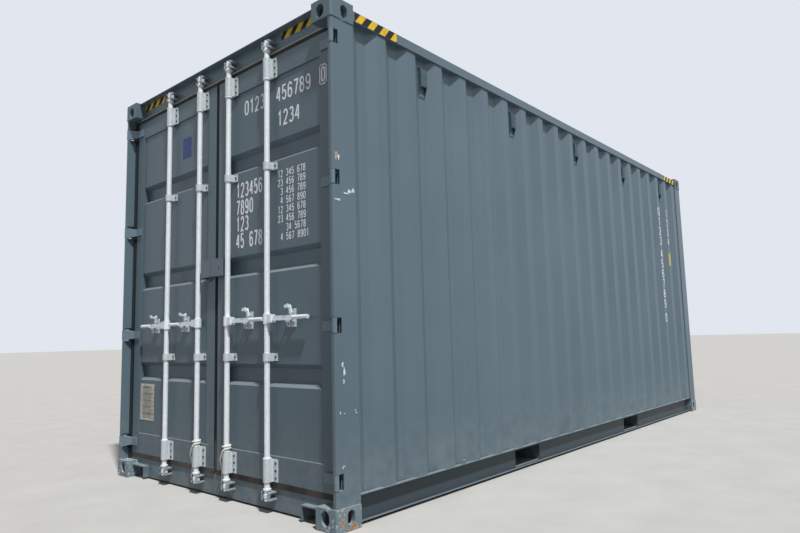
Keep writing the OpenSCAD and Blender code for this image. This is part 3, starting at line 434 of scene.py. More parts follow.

# %% [markdown]
# ## The paints of this container
#
# One paint is not enough for the whole box. The castings are knocked about and rusty, and the posts
# have a few chips. The leaves' paint is darker, as painted shade on the doors' end, and painted
# shade darkens the seam between the leaves, the bottom rails' channels and the posts' grooves.
# Painting each by hand would take long. Instead one function makes them all, and each paint says
# only how it differs.

# %% Paints
PEEL, WAVES = 420.0, 6.0
# Painted shade in grooves, where shade falls between parts: the seam between the leaves, the rails'
# channels and the posts' grooves.
SEAM_SHADE = dict(inner=0.0160, outer=0.0175, shade=0.14)
RAIL_CHANNEL_SHADE = dict(inner=1.176, outer=1.190, shade=0.36)
POST_GROOVE_SHADE = dict(inner=1.1866, outer=1.1886, shade=0.16, x_end=-2.93)
CASTING_RUST = [((-2.990, RIGHT, 0.058), 0.019), ((-2.900, RIGHT, 0.014), 0.024),
                ((-2.935, RIGHT, 0.004), 0.018), ((-2.938, RIGHT, 0.098), 0.009)]


def painted(name, base, chips=0.0, rust=0.0, rough=0.36, spots=(), groove_shade=None):
    """Sprayed paint over steel: aged, chipped and rusted, with painted shade in a groove, and with
    the fine bumps that spraying leaves on top of slow waves in the sheet."""
    m, tree, shader = material(name)
    colour, cloud = aged(tree, base)
    speck = noise(tree, SPECKS, detail=6.0, rough=0.7)
    if chips:
        colour = chipped(tree, colour, speck, chips)
    colour = rusted(tree, colour, speck, rust, spots)
    # Painted shade in a groove, where one is given.
    if groove_shade:
        colour = groove_painted_shade(tree, colour, base, **groove_shade)
    peel = maths(tree, "MULTIPLY", noise(tree, PEEL, detail=2.0), 0.12)
    height = maths(tree, "ADD", peel, noise(tree, WAVES, detail=2.0))
    finish(tree, shader, colour, band(tree, cloud, 0.0, 1.0, (rough, rough + 0.14)),
           height, strength=0.25, distance=0.0012)
    return m


paint = painted("paint_blue_grey", PAINT)
# The leaves' paint is darker than the rest: painted shade for the doors' end.
paint_doors_shaded = painted("paint_on_doors_shaded", tone(PAINT, 0.84), groove_shade=SEAM_SHADE)
paint_rails = painted("paint_on_rails", PAINT, groove_shade=RAIL_CHANNEL_SHADE)
paint_posts = painted("paint_on_posts", PAINT, chips=0.015, groove_shade=POST_GROOVE_SHADE)
paint_castings = painted("paint_on_castings", tone(PAINT, 1.28), chips=0.16, rust=0.04,
                         rough=0.5, spots=CASTING_RUST)
paint_castings_top = painted("paint_on_top_castings", tone(PAINT, 0.96), chips=0.06, rough=0.45)
paint_hinges = painted("paint_on_hinges", tone(PAINT, 1.25), chips=0.02)
paint_inside = painted("paint_underside", tone(PAINT, 0.55), rough=0.6)
paint_lock_box = painted("paint_lock_box", (0.120, 0.152, 0.185), chips=0.03, rough=0.45)
print("paints:", [m.name for m in bpy.data.materials if m.name.startswith("paint")])

# %% [markdown]
# ## Zinc
#
# The locking bars, handles and brackets are dipped in molten zinc, which hardens in
# flat crystals about a centimetre wide. Each crystal throws back the light a little
# differently. Plain noise has no such edges, but a cell pattern does, so each cell
# gets a grey of its own. The brackets are duller than the bars, and the keepers
# duller still.

# %% Zinc
CRYSTALS, BLOOM, SCUFFS, ZINC_GRAIN = 90.0, 7.0, 34.0, 260.0
SCUFF = (0.34, 0.31, 0.28)


def galvanised(name, base=(0.86, 0.92, 0.95), rough=0.42):
    """Hot-dipped zinc: crystal cells, a chalky bloom and small dark scuffs."""
    m, tree, shader = material(name, metallic=0.15)
    cells = node(tree, "TexVoronoi", {"Vector": stretched(tree, (1, 1, 0.6)),
                                      "Scale": CRYSTALS}).outputs["Color"]
    grey = node(tree, "RGBToBW", {"Color": cells}).outputs[0]
    bloom = band(tree, noise(tree, BLOOM, detail=5.0), 0.4, 0.7)
    colour = mixed(tree, band(tree, grey, 0.1, 0.9), tone(base, 0.88), base)
    colour = mixed(tree, maths(tree, "MULTIPLY", bloom, 0.4), colour, tone(base, 1.04))
    scuff = band(tree, noise(tree, SCUFFS, detail=7.0, rough=0.7), 0.66, 0.72)
    colour = mixed(tree, scuff, colour, SCUFF)
    finish(tree, shader, colour, band(tree, grey, 0.0, 1.0, (rough, rough + 0.16)),
           noise(tree, ZINC_GRAIN, detail=3.0), strength=0.15, distance=0.0006)
    return m


zinc = galvanised("zinc_spangled")
zinc_fittings = galvanised("zinc_fittings", (0.62, 0.67, 0.69), 0.48)
zinc_dull = galvanised("zinc_dull", (0.36, 0.38, 0.40), 0.5)
print("zinc:", zinc.name, zinc_fittings.name, zinc_dull.name)

# %% [markdown]
# ## Rubber and plywood
#
# A black rubber lip closes the gap round each leaf. Dust makes its level runs brown
# and leaves the upright ones dark, so the height above ground chooses between the
# two colours. The floor is of plywood boards. A picture of wood would repeat along
# six metres, so the grain is noise that is stretched along x.

# %% Rubber and plywood
RUBBER, RUBBER_DUST = (0.022, 0.018, 0.016), (0.105, 0.088, 0.072)
UPRIGHT_FROM, UPRIGHT_TO = (0.33, 0.37), (2.72, 2.68)
RUBBER_CLOUDS, RUBBER_GRAIN, WOOD_GRAIN, WHEEL_MARKS = 5.0, 300.0, 30.0, 1.3
WOOD_DARK, WOOD_PALE, WHEEL_MARK = (0.22, 0.13, 0.075), (0.40, 0.26, 0.155), (0.16, 0.12, 0.095)


def rubber(name):
    """Rubber lip with dust on its level runs; the upright runs stay black."""
    m, tree, shader = material(name, specular=0.3)
    dusty = band(tree, noise(tree, RUBBER_CLOUDS, stretch=(1, 1, 0.5), detail=6.0), 0.3, 0.7)
    height = axis(tree, 2)
    upright = maths(tree, "MULTIPLY", band(tree, height, *UPRIGHT_FROM),
                    band(tree, height, *UPRIGHT_TO))
    level = mixed(tree, dusty, RUBBER, RUBBER_DUST)
    finish(tree, shader, mixed(tree, upright, level, tone(RUBBER, 0.7)), 0.75,
           noise(tree, RUBBER_GRAIN, detail=2.0), strength=0.2, distance=0.0005)
    return m


def plywood(name):
    """Floor board: long grain along x, with darker wheel marks."""
    m, tree, shader = material(name, specular=0.35)
    grain = noise(tree, WOOD_GRAIN, stretch=(0.05, 1, 1), detail=8.0, rough=0.6, warp=0.4)
    worn = band(tree, noise(tree, WHEEL_MARKS, stretch=(0.3, 1, 1), detail=4.0), 0.35, 0.7)
    colour = mixed(tree, band(tree, grain, 0.3, 0.7), WOOD_DARK, WOOD_PALE)
    colour = mixed(tree, maths(tree, "MULTIPLY", worn, 0.5), colour, WHEEL_MARK)
    finish(tree, shader, colour, band(tree, worn, 0.0, 1.0, (0.45, 0.7)), grain,
           strength=0.3, distance=0.001)
    return m


rubber_brown = rubber("rubber_brown_black")
wood = plywood("plywood_floor")
print("rubber and plywood ready")

# %% [markdown]
# ## Dull metal, films and rope fibre
#
# The rest is small: a weathered plate, bolts painted dark as the shade round them, grey
# ventilators, stuck or stencilled films, and the ropes. Each is one colour that wears to a second
# one, so two functions are enough for all of them, one for metal and one for what isn't.

# %% Dull metal, films and rope fibre
PATINA, PLATE_GRAIN, FILM_WEAR, FILM_GRAIN = 24.0, 180.0, 38.0, 240.0


def dull_metal(name, base, rough=0.5):
    """Thin plate or cast fitting with a light patina."""
    m, tree, shader = material(name, metallic=0.3)
    patina = band(tree, noise(tree, PATINA, detail=6.0), 0.35, 0.7)
    finish(tree, shader, mixed(tree, patina, base, tone(base, 0.72)),
           band(tree, patina, 0.0, 1.0, (rough, rough + 0.2)),
           noise(tree, PLATE_GRAIN, detail=3.0), strength=0.2, distance=0.0005)
    return m


def flat_film(name, base, worn_to, rough=0.5):
    """Printed or sprayed film: one colour, worn in small patches to another."""
    m, tree, shader = material(name, specular=0.4)
    worn = band(tree, noise(tree, FILM_WEAR, detail=7.0, rough=0.65), 0.52, 0.72)
    finish(tree, shader, mixed(tree, worn, base, worn_to), rough,
           noise(tree, FILM_GRAIN), strength=0.1, distance=0.0004)
    return m


plate = dull_metal("plate_dull", (0.62, 0.60, 0.53))
# Bolt and rivet heads are dark as the shade round them: painted shade.
bolt_painted_shade = dull_metal("bolt_dark", (0.085, 0.090, 0.095), 0.55)
vent_metal = dull_metal("ventilator_grey", tone(PAINT, 0.8), 0.6)
rope_fibre = flat_film("rope_fibre", (0.80, 0.77, 0.68), (0.55, 0.51, 0.43), 0.85)
for rope in ropes:
    rope.data.materials.append(rope_fibre)
print("materials so far:", len(bpy.data.materials))

# %% [markdown]
# ## Giving the CAD nodes their materials
#
# The CAD model arrives as 45 named nodes without a finish. Instead of clicking
# through them, a list pairs the start of a name with a material, and every node
# that the list doesn't know is plain paint.

# %% Dress the CAD nodes
DRESS = [
    ("castings_bottom", paint_castings),
    ("castings_top", paint_castings_top),
    ("rear_post", paint_posts),
    ("floor_boards", wood),
    ("door_frame", paint_doors_shaded),
    ("door_panel", paint_doors_shaded),
    ("bottom_rails", paint_rails),
    ("cross_members", paint_inside),
    ("fork_pockets", paint_inside),
    ("ventilators", vent_metal),
    ("hinge_blades", paint_hinges),
    ("cam_keepers", zinc_dull),
    ("door_gasket", rubber_brown),
    ("bar_fittings", zinc_fittings),
    ("lock_box", paint_lock_box),
    ("data_plate", plate),
    ("locking_bar", zinc),
    ("bar_handle", zinc),
    ("handle_catch", zinc),
    ("tie_rope", rope_fibre),
]
for name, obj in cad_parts.items():
    chosen = next((m for prefix, m in DRESS if name.startswith(prefix)), paint)
    obj.data.materials.clear()
    obj.data.materials.append(chosen)
print("dressed", len(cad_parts), "nodes")

# %% [markdown]
# ## Bolts, rivets and screws
#
# Hexagon bolts and rivets hold the brackets, four rivets the data plate, and screws
# the floor. A head is a profile turned round an axis. Hundreds of separate objects
# would be slow, so one head is copied to all its places with one addition of
# arrays, and each group of heads is one object.

# %% Heads
HEAD_PROFILE = np.array([(0, 0), (1, 0), (1, 0.65), (0.86, 1), (0.45, 1.05), (0, 1.08)])
POLE_R = 1e-5  # the middle of a head is a tiny ring, so that every face has four corners
TURNS = {
    "-x": ((0, 1, 0), (0, 0, -1), (-1, 0, 0)),
    "+z": ((1, 0, 0), (0, 1, 0), (0, 0, 1)),
}


def turned_head(radius, height, sides):
    """A bolt or rivet head standing on z = 0: the profile gives radius and height of each
    ring, as shares of the head's own, and the points of a ring lie at equal angles."""
    r = np.maximum(HEAD_PROFILE[:, 0] * radius, POLE_R)
    h = HEAD_PROFILE[:, 1] * height
    ring = np.stack([np.cos(around(sides)), np.sin(around(sides))], axis=-1)
    flat = (r[:, None, None] * ring[None]).reshape(-1, 2)
    return np.column_stack([flat, np.repeat(h, sides)]), skin(len(r), sides, True)


def heads(name, places, facing, size, mat, body):
    """Equal heads that all face one way: the template times its axes, plus each place.
    The size holds radius, height and number of sides."""
    template, faces = turned_head(*size)
    verts = (template @ np.array(TURNS[facing], float))[None] + np.asarray(places, float)[:, None]
    return make_object(name, verts.reshape(-1, 3), copies(faces, len(places), len(template)),
                       body, mat, smooth=False)


print("a head has", len(HEAD_PROFILE), "rings")

# %% [markdown]
# ## Where the heads sit
#
# A large bracket has three bolts on one side of its bar and two rivets on the other,
# and a small one has a single bolt. Their places follow from the bars' and the
# brackets', so that no head can be left behind. The screws stand in rows, a grid of
# lengths and widths.

# %% Heads on the leaves, the plate and the floor
BOLT, BRACKET_RIVET = (0.0080, 0.005, 6), (0.0046, 0.003, 10)
PLATE_RIVET, FLOOR_SCREW = (0.0030, 0.0018, 12), (0.006, 0.0004, 8)
BRACKET_T = 0.008
BOLT_Y, BOLT_Z = -0.048, (-0.042, 0.0, 0.042)  # on a large bracket, from the bar's axis
RIVET_Y, RIVET_Z = 0.028, (-0.036, 0.036)
GUIDE_BOLT_Y = -0.040
PLATE_Y, PLATE_Z, PLATE_X = (0.8095, 1.0125), (0.418, 0.686), SHEET_X - 0.002
PLATE_EDGE = 0.01
SCREW_X, SCREW_Y = np.arange(-2.66, 2.70, 0.28), np.arange(-1.05, 1.06, 0.15)
for side, bars in (("right", (3, 4)), ("left", (1, 2))):
    bolts = [(LEAF_X - BRACKET_T, BARS[b] + BOLT_Y, z + dz)
             for b in bars for z in BEARINGS for dz in BOLT_Z]
    bolts += [(SHEET_X - BRACKET_T, BARS[b] + GUIDE_BOLT_Y, z) for b in bars for z in GUIDES]
    heads("bracket_bolts_" + side, bolts, "-x", BOLT, bolt_painted_shade, side + "_door")
    rivets = [(LEAF_X - BRACKET_T, BARS[b] + RIVET_Y, z + dz)
              for b in bars for z in BEARINGS for dz in RIVET_Z]
    heads("bracket_rivets_" + side, rivets, "-x", BRACKET_RIVET, bolt_painted_shade, side + "_door")
corners = [(PLATE_X, y, z) for y in (PLATE_Y[0] + PLATE_EDGE, PLATE_Y[1] - PLATE_EDGE)
           for z in (PLATE_Z[0] + PLATE_EDGE, PLATE_Z[1] - PLATE_EDGE)]
heads("plate_rivets", corners, "-x", PLATE_RIVET, zinc, "left_door")
screws = np.stack(np.meshgrid(SCREW_X, SCREW_Y, [FLOOR_Z], indexing="ij"), -1).reshape(-1, 3)
heads("floor_screws", screws, "+z", FLOOR_SCREW, zinc, "container")
print("bolts, rivets and", len(screws), "floor screws placed")

# %% [markdown]
# ## Hazard films
#
# Films with slanted yellow and black bars mark the high corners, on the header and on
# both top rails. The bars could be many small faces, each with its colour. Here the
# film is one plain sheet, and the bars come from the material: the remainder of one
# slanted coordinate says which colour a point has, so that the edges stay sharp.

# %% Hazard films
HAZARD_YELLOW, HAZARD_WORN = (0.86, 0.56, 0.030), (0.70, 0.45, 0.05)
HAZARD_BLACK = (0.012, 0.012, 0.014)
HAZARD_WEAR, HAZARD_GRAIN = 30.0, 200.0
HEADER_FILMS = (("left", 1.098, 0.745), ("right", -0.685, -1.050))
HEADER_FILM_Z = (2.836, 2.8835)
RAIL_FILMS = (("rear", -2.835, -2.465), ("front", 2.463, 2.850))
RAIL_EDGE = 0.002


def hazard(name, across, slope, pitch, offset):
    """Yellow and black bars: a coordinate along the rail plus slope times height, modulo
    the pitch."""
    m, tree, shader = material(name, specular=0.25)
    rise = maths(tree, "MULTIPLY", axis(tree, 2), slope)
    slant = maths(tree, "ADD", maths(tree, "ADD", axis(tree, across), rise), offset)
    phase = maths(tree, "FRACT", maths(tree, "DIVIDE", slant, pitch))
    yellow = band(tree, phase, 0.49, 0.51)
    worn = band(tree, noise(tree, HAZARD_WEAR, detail=6.0), 0.4, 0.7)
    bright = mixed(tree, worn, HAZARD_YELLOW, HAZARD_WORN)
    finish(tree, shader, mixed(tree, yellow, HAZARD_BLACK, bright), 0.45,
           noise(tree, HAZARD_GRAIN), strength=0.1, distance=0.0005)
    return m


def thicken(obj, thickness=0.0003):
    """Gives a sheet a thickness, equal to both sides of it."""
    thick = obj.modifiers.new("thickness", "SOLIDIFY")
    thick.thickness, thick.offset = thickness, 0.0
    return obj


def film(name, corners, mat, body, rows=2, cols=16):
    """A thin film: the point at (s, t) is the even blend of its four corners."""
    s = np.linspace(0, 1, cols)[None, :, None]
    t = np.linspace(0, 1, rows)[:, None, None]
    a, b, c, d = (np.array(p, float) for p in corners)
    grid = (1 - t) * ((1 - s) * a + s * b) + t * ((1 - s) * d + s * c)
    return thicken(make_object(name, grid.reshape(-1, 3), skin(rows, cols, False), body, mat,
                               smooth=False))


def rear_film(name, x, y0, y1, z0, z1, mat, body):
    """A film that faces the doors' end, between two widths and two heights."""
    return film(name, [(x, y0, z0), (x, y1, z0), (x, y1, z1), (x, y0, z1)], mat, body)


def side_film(name, y, x0, x1, z0, z1, mat, body):
    """A film that faces a side, between two lengths and two heights."""
    return film(name, [(x0, y, z0), (x1, y, z0), (x1, y, z1), (x0, y, z1)], mat, body)


hazard_y = hazard("hazard_along_y", across=1, slope=0.85, pitch=0.1012, offset=0.020)
hazard_x = hazard("hazard_along_x", across=0, slope=-0.75, pitch=0.1013, offset=0.024)
for name, y0, y1 in HEADER_FILMS:
    rear_film("hazard_header_" + name, HEADER_X - FILM_LIFT, y0, y1, *HEADER_FILM_Z,
              hazard_y, "container")
for side, sign in (("right", 1), ("left", -1)):
    y = sign * (RIGHT + FRAME_SETBACK - FILM_LIFT)
    for end, x0, x1 in RAIL_FILMS:
        ends = (x0, x1) if sign > 0 else (x1, x0)
        side_film("hazard_%s_%s" % (side, end), y, *ends, RAIL_LOW + RAIL_EDGE,
                  RAIL_TOP - RAIL_EDGE, hazard_x, "container")
print("hazard films:", len(HEADER_FILMS) + 2 * len(RAIL_FILMS))

# %% [markdown]
# ## The shapes of the digits
#
# Rows of stencilled white digits stand on the leaf and on the wall. They only count,
# so that the model can stand for any container. A font would give hundreds of points
# and its own style of digit. Narrow stencil digits are simple enough to be drawn as
# strokes: arcs of ellipses and straight lines in a square of side 1, where (0, 0) is
# the lower left corner.


# %% Strokes
def arc(cx, cy, rx, ry, start, stop, count=13):
    """Points of a part of an ellipse, between two angles in degrees."""
    angle = np.radians(np.linspace(start, stop, count))
    return np.stack([cx + rx * np.cos(angle), cy + ry * np.sin(angle)], -1)


def straight(*points):
    """Straight pieces through the points."""
    return np.array(points, float)


SIX = [np.vstack([arc(0.5, 0.7, 0.5, 0.3, 25, 180), straight((0, 0.3))]),
       arc(0.5, 0.3, 0.5, 0.3, 180, 540, 25)]
GLYPHS = {
    "0": [np.vstack([arc(0.5, 0.7, 0.5, 0.3, 0, 180), arc(0.5, 0.3, 0.5, 0.3, 180, 360),
                     straight((1, 0.7))])],
    "1": [straight((0.18, 0.80), (0.62, 1), (0.62, 0))],
    "2": [np.vstack([arc(0.5, 0.72, 0.5, 0.28, 165, -25), straight((0.04, 0), (1, 0))])],
    "3": [arc(0.5, 0.76, 0.46, 0.24, 155, -90), arc(0.5, 0.27, 0.5, 0.27, 90, -155)],
    "4": [straight((0.76, 0), (0.76, 1)), straight((0.66, 1), (0, 0.30), (1, 0.30))],
    "5": [np.vstack([straight((0.92, 1), (0.12, 1), (0.05, 0.56)),
                     arc(0.5, 0.31, 0.5, 0.31, 140, -155)])],
    "6": SIX,
    "7": [straight((0, 1), (1, 1), (0.36, 0))],
    "8": [arc(0.5, 0.27, 0.5, 0.27, 0, 360, 25), arc(0.5, 0.77, 0.44, 0.23, 0, 360, 25)],
    "9": [1 - stroke for stroke in SIX],
}
print("digits drawn:", "".join(GLYPHS))

# %% [markdown]
# ## From strokes to ribbons
#
# A stencilled stroke is as wide everywhere, also round a bend. Thickening a line
# straight across would pinch the bends, so each point moves along its mitre, as a
# carpenter cuts two laths that meet. The second stroke of a digit lies a hair in
# front of the first, so that where they cross the surfaces don't flicker.

# %% Ribbons
STROKE_HALF = 0.058  # half a stroke's width, as a share of the digit's height
STROKE_LIFT = 0.00006
UP = np.array([0.0, 0.0, 1.0])
TO_RIGHT, TO_FRONT, DOWN = (0, -1, 0), (1, 0, 0), (0, 0, -1)


def ribbon(points, half):
    """A flat stroke: each point moves both ways along its mitre, which is the mean of the
    normals of the two segments that meet there, by half over the cosine between them."""
    along = np.diff(points, axis=0)
    along /= np.linalg.norm(along, axis=1, keepdims=True)
    normal = np.stack([-along[:, 1], along[:, 0]], -1)
    closed = np.allclose(points[0], points[-1])
    before = np.vstack([normal[-1:] if closed else normal[:1], normal])
    after = np.vstack([normal, normal[:1] if closed else normal[-1:]])
    mitre = before + after
    mitre /= np.linalg.norm(mitre, axis=1, keepdims=True)
    reach = half * mitre / np.clip((mitre * after).sum(1, keepdims=True), 0.5, 1)
    return np.stack([points + reach, points - reach], 1)


def digits(name, rows, size, along, mat, body, down=None):
    """Rows of counting digits: each stroke is a ribbon in a digit's cell, whose corner is
    the row's start plus the step times the digit's number.

    rows holds (text, start), and size holds a digit's height, its width and the step.
    along is the writing direction, and down the direction of the next digit where they
    stand under each other.
    """
    height, width, step = size
    along, onward = np.array(along, float), np.array(down or along, float)
    half = STROKE_HALF * height
    cell = np.array([width, height]) - 2 * half
    out = np.cross(along, UP)
    verts, faces, count = [], [], 0
    for text, start in rows:
        for k, letter in enumerate(text):
            for i, stroke in enumerate(GLYPHS.get(letter, [])):
                flat = ribbon(stroke * cell + half, half).reshape(-1, 2)
                corner = np.array(start, float) + k * step * onward + i * STROKE_LIFT * out
                verts.append(corner + flat[:, :1] * along + flat[:, 1:] * UP)
                faces.append(skin(len(stroke), 2, False) + count)
                count += len(flat)
    return thicken(make_object(name, np.vstack(verts), np.vstack(faces), body, mat,
                               smooth=False))


print("a stroke is", 2 * STROKE_HALF, "of a digit's height wide")

# %% [markdown]
# ## Markings on the leaves
#
# The right leaf has two large rows at the top with a boxed digit beside them, and two
# blocks of smaller rows below. The left leaf has a small blank film. They could be
# one picture laid over both leaves, but as thin sheets they stay sharp, and each
# rides on its own leaf when that swings open.

# %% Markings on the leaves
ON_SHEET, ON_LEAF = SHEET_X - FILM_LIFT, LEAF_X - FILM_LIFT
# Each size holds a digit's height, its width and the step to the next digit.
LARGE, BOXED = (0.100, 0.045, 0.056), (0.092, 0.036, 0.050)
LABEL, SMALL = (0.100, 0.039, 0.048), (0.046, 0.0205, 0.0262)
LARGE_ROWS = [("0123", -0.299, 2.449), ("456789", -0.631, 2.447), ("1234", -0.643, 2.288)]
LABEL_ROWS = [("123456", -0.210, 1.910), ("7890", -0.210, 1.796), ("123", -0.210, 1.688),
              ("45 678", -0.210, 1.578)]
SMALL_Y, SMALL_TOP, SMALL_PITCH = -0.646, 1.966, 0.0555
SMALL_TEXTS = ["12 345 678", "23 456 789", " 3 456 789", " 4 567 890",
               "12 345 678", "23 456 789", "   34 5678", " 4 567 8901"]
BOXED_ROW = [("0", (ON_LEAF, -1.056, 2.450))]
BOX_Y, BOX_Z, BOX_LINE = (-1.042, -1.104), (2.436, 2.556), 0.007
BLUE_FILM = (0.470, 0.353, 2.320, 2.472)


def on_sheet(rows):
    """Rows with their starts on a leaf's sheet, from (text, y, z)."""
    return [(text, (ON_SHEET, y, z)) for text, y, z in rows]


white = flat_film("marking_white", (0.90, 0.92, 0.93), (0.74, 0.77, 0.78), 0.55)
yellow_blank = flat_film("film_yellow", (0.74, 0.55, 0.03), (0.58, 0.44, 0.06))
blue_blank = flat_film("film_blue", (0.022, 0.055, 0.19), (0.06, 0.11, 0.24))
digits("markings_large", on_sheet(LARGE_ROWS), LARGE, TO_RIGHT, white, "right_door")
digits("marking_boxed", BOXED_ROW, BOXED, TO_RIGHT, white, "right_door")
box_lines = [(*BOX_Y, BOX_Z[0], BOX_Z[0] + BOX_LINE), (*BOX_Y, BOX_Z[1] - BOX_LINE, BOX_Z[1]),
             (BOX_Y[0], BOX_Y[0] - BOX_LINE, *BOX_Z), (BOX_Y[1] + BOX_LINE, BOX_Y[1], *BOX_Z)]
for i, line in enumerate(box_lines):
    rear_film("marking_box_%d" % i, ON_LEAF, *line, white, "right_door")
digits("markings_labels", on_sheet(LABEL_ROWS), LABEL, TO_RIGHT, white, "right_door")
small_rows = [(text, SMALL_Y, SMALL_TOP - SMALL_PITCH * i) for i, text in enumerate(SMALL_TEXTS)]
digits("markings_small", on_sheet(small_rows), SMALL, TO_RIGHT, white, "right_door")
rear_film("film_blank_left_leaf", ON_SHEET, *BLUE_FILM, blue_blank, "left_door")
print("rows on the right leaf:", len(LARGE_ROWS) + len(LABEL_ROWS) + len(SMALL_TEXTS) + 1)

# %% [markdown]
# ## Markings on the right wall
#
# Near its front end the wall has digits that stand one under another, so that a
# column fits on one flat of the corrugation, and a small blank yellow film. The same
# function writes them as on the leaf, with a downward step from digit to digit.

# %% Markings on the wall
ON_WALL = WALL_Y - FILM_LIFT
YELLOW_FILM = (2.458, 2.506, 1.762, 1.914)
WALL_LARGE, WALL_SMALL = (0.100, 0.058, 0.117), (0.096, 0.034, 0.114)
WALL_LARGE_ROWS = [("0123", 2.179, 2.339), ("456789", 2.179, 1.834), ("0", 2.179, 1.087)]
WALL_SMALL_ROWS = [("1234", 2.464, 2.347)]


def on_wall(rows):
    """Rows with their starts on the right wall, from (text, x, z)."""
    return [(text, (x, ON_WALL, z)) for text, x, z in rows]


side_film("film_blank_right_wall", ON_WALL, *YELLOW_FILM, yellow_blank, "container")
digits("markings_wall_large", on_wall(WALL_LARGE_ROWS), WALL_LARGE, TO_FRONT, white,
       "container", down=DOWN)
digits("markings_wall_small", on_wall(WALL_SMALL_ROWS), WALL_SMALL, TO_FRONT, white,
       "container", down=DOWN)
print("films and markings placed")

# %% [markdown]
# ## The data plate's lines, dust and a painted highlight
#
# From the camera's place, a data plate's fine rows look like lines of uneven length.
# Thin raised bars do for them, and a sine wave makes their lengths uneven without any list. Light
# dust lies on the edge of the header's lip, and a pale line along the lowest joint of each leaf's
# sheet is a painted highlight on the edge of that ledge.

# %% Plate lines, dust and a painted highlight
PLATE_LINES, LINE_MARGIN, LINE_START = 30, 0.018, 0.014
LINE_LONGEST, LINE_SHORTER = 0.172, 0.050
LINE_HALF, THICK_HALF, THICK_EVERY, THICK_AT = 0.0012, 0.0030, 6, 4
LINE_T = 0.0002
DUST_LINE = (1.085, -1.085, 2.7662, 2.7738)
LEDGE_HIGHLIGHT_Y = (("right", -0.075, -1.040), ("left", 1.040, 0.075))
LEDGE_HIGHLIGHT_Z = (0.3155, 0.3195)


def plate_lines(name, mat, body):
    """Level bars, one over the other: line n is the longest length less the shortening
    times |sin 2.3 n|, and one line in six is thick."""
    n = np.arange(PLATE_LINES)
    middle = np.linspace(PLATE_Z[0] + LINE_MARGIN, PLATE_Z[1] - LINE_MARGIN, PLATE_LINES)
    half = np.where(n % THICK_EVERY == THICK_AT, THICK_HALF, LINE_HALF)
    start = np.full(PLATE_LINES, PLATE_Y[1] - LINE_START)
    end = start - (LINE_LONGEST - LINE_SHORTER * np.abs(np.sin(2.3 * n)))
    y = np.stack([start, end, end, start], -1)
    z = np.stack([middle - half, middle - half, middle + half, middle + half], -1)
    verts = np.stack([np.full_like(y, PLATE_X - FILM_LIFT), y, z], -1).reshape(-1, 3)
    faces = np.arange(len(verts)).reshape(-1, 4)
    return thicken(make_object(name, verts, faces, body, mat, smooth=False), LINE_T)


plate_dark = dull_metal("plate_lines", (0.165, 0.160, 0.150), 0.6)
# A pale line painted as a highlight where the lowest ledge of each leaf catches the light.
ledge_highlight = flat_film("ledge_highlight_pale", (0.36, 0.42, 0.45), (0.24, 0.30, 0.33), 0.6)
dust_film = flat_film("dust_tan", (0.52, 0.45, 0.37), (0.34, 0.28, 0.22), 0.9)
plate_lines("plate_lines", plate_dark, "left_door")
rear_film("dust_header_lip", LIP_X - FILM_LIFT, *DUST_LINE, dust_film, "container")
for side, y0, y1 in LEDGE_HIGHLIGHT_Y:
    rear_film("ledge_highlight_" + side, ON_LEAF, y0, y1, *LEDGE_HIGHLIGHT_Z, ledge_highlight, side + "_door")
print("plate lines, dust and sealant placed")

# %% [markdown]
# ## Weld beads
#
# A bead of weld joins each casting to the post above or below it, and its surface
# keeps the ripples with which it was laid. A bump in the paint would vanish at the
# outline, so each bead is a thin tube whose radius ripples along its length, half
# sunk in the corner.

# %% Weld beads
BEAD_R, BEAD_RIPPLE, BEAD_ROWS, BEAD_SIDES = 0.0032, 0.007, 70, 8
BEAD_LIFT, BEAD_STOP, NOSE_END = 0.001, 0.004, 0.070


def beads(name, ends, mat, body):
    """Tubes along straight lines: the radius is R (0.85 + 0.15 |sin(pi s / ripple)|) at the
    length s, times the square root of 1 - |u| ** 24, where u goes from -1 to 1."""
    t = np.linspace(0, 1, BEAD_ROWS)
    tip = np.sqrt(np.clip(1 - np.abs(2 * t - 1) ** 24, TINY, 1))
    grids = []
    for a, b in np.array(ends, float):
        gone = t * np.linalg.norm(b - a)
        ripple = 0.85 + 0.15 * np.abs(np.sin(np.pi * gone / BEAD_RIPPLE))
        radius = np.repeat((BEAD_R * ripple * tip)[:, None], BEAD_SIDES, axis=1)
        grids.append(tube_grid(a + (b - a) * t[:, None], radius, ACROSS_BEADS))
    faces = copies(skin(BEAD_ROWS, BEAD_SIDES, True), len(grids), BEAD_ROWS * BEAD_SIDES)
    return make_object(name, np.array(grids).reshape(-1, 3), faces, body, mat)


def casting_seams():
    """The two ends of each bead: at every casting one runs along its side and one across
    its end, as far as the post's nose reaches."""
    seams = []
    for sx in (-1, 1):
        for sy in (-1, 1):
            end_x, side_y = sx * (FRONT - FRAME_SETBACK), sy * (LEFT - FRAME_SETBACK)
            back_x, nose_y = sx * (FRONT - CASTING_L + BEAD_STOP), sy * (LEFT - NOSE_END)
            for z in (CASTING_H + BEAD_LIFT, TOP - CASTING_H - BEAD_LIFT):
                seams.append(((end_x, side_y, z), (back_x, side_y, z)))
                seams.append(((end_x, side_y, z), (end_x, nose_y, z)))
    return seams


beads("weld_beads", casting_seams(), paint_castings, "container")
print("weld beads:", len(casting_seams()))

# %% [markdown]
# ## Flaked paint on the right rear post
#
# Knocks have broken larger flakes off the post nearest to the camera, down to pale
# primer and in two places to tan. Noise can't put a mark just where it was seen, so
# each flake is a small flat patch with a place, a size and an edge that wanders.

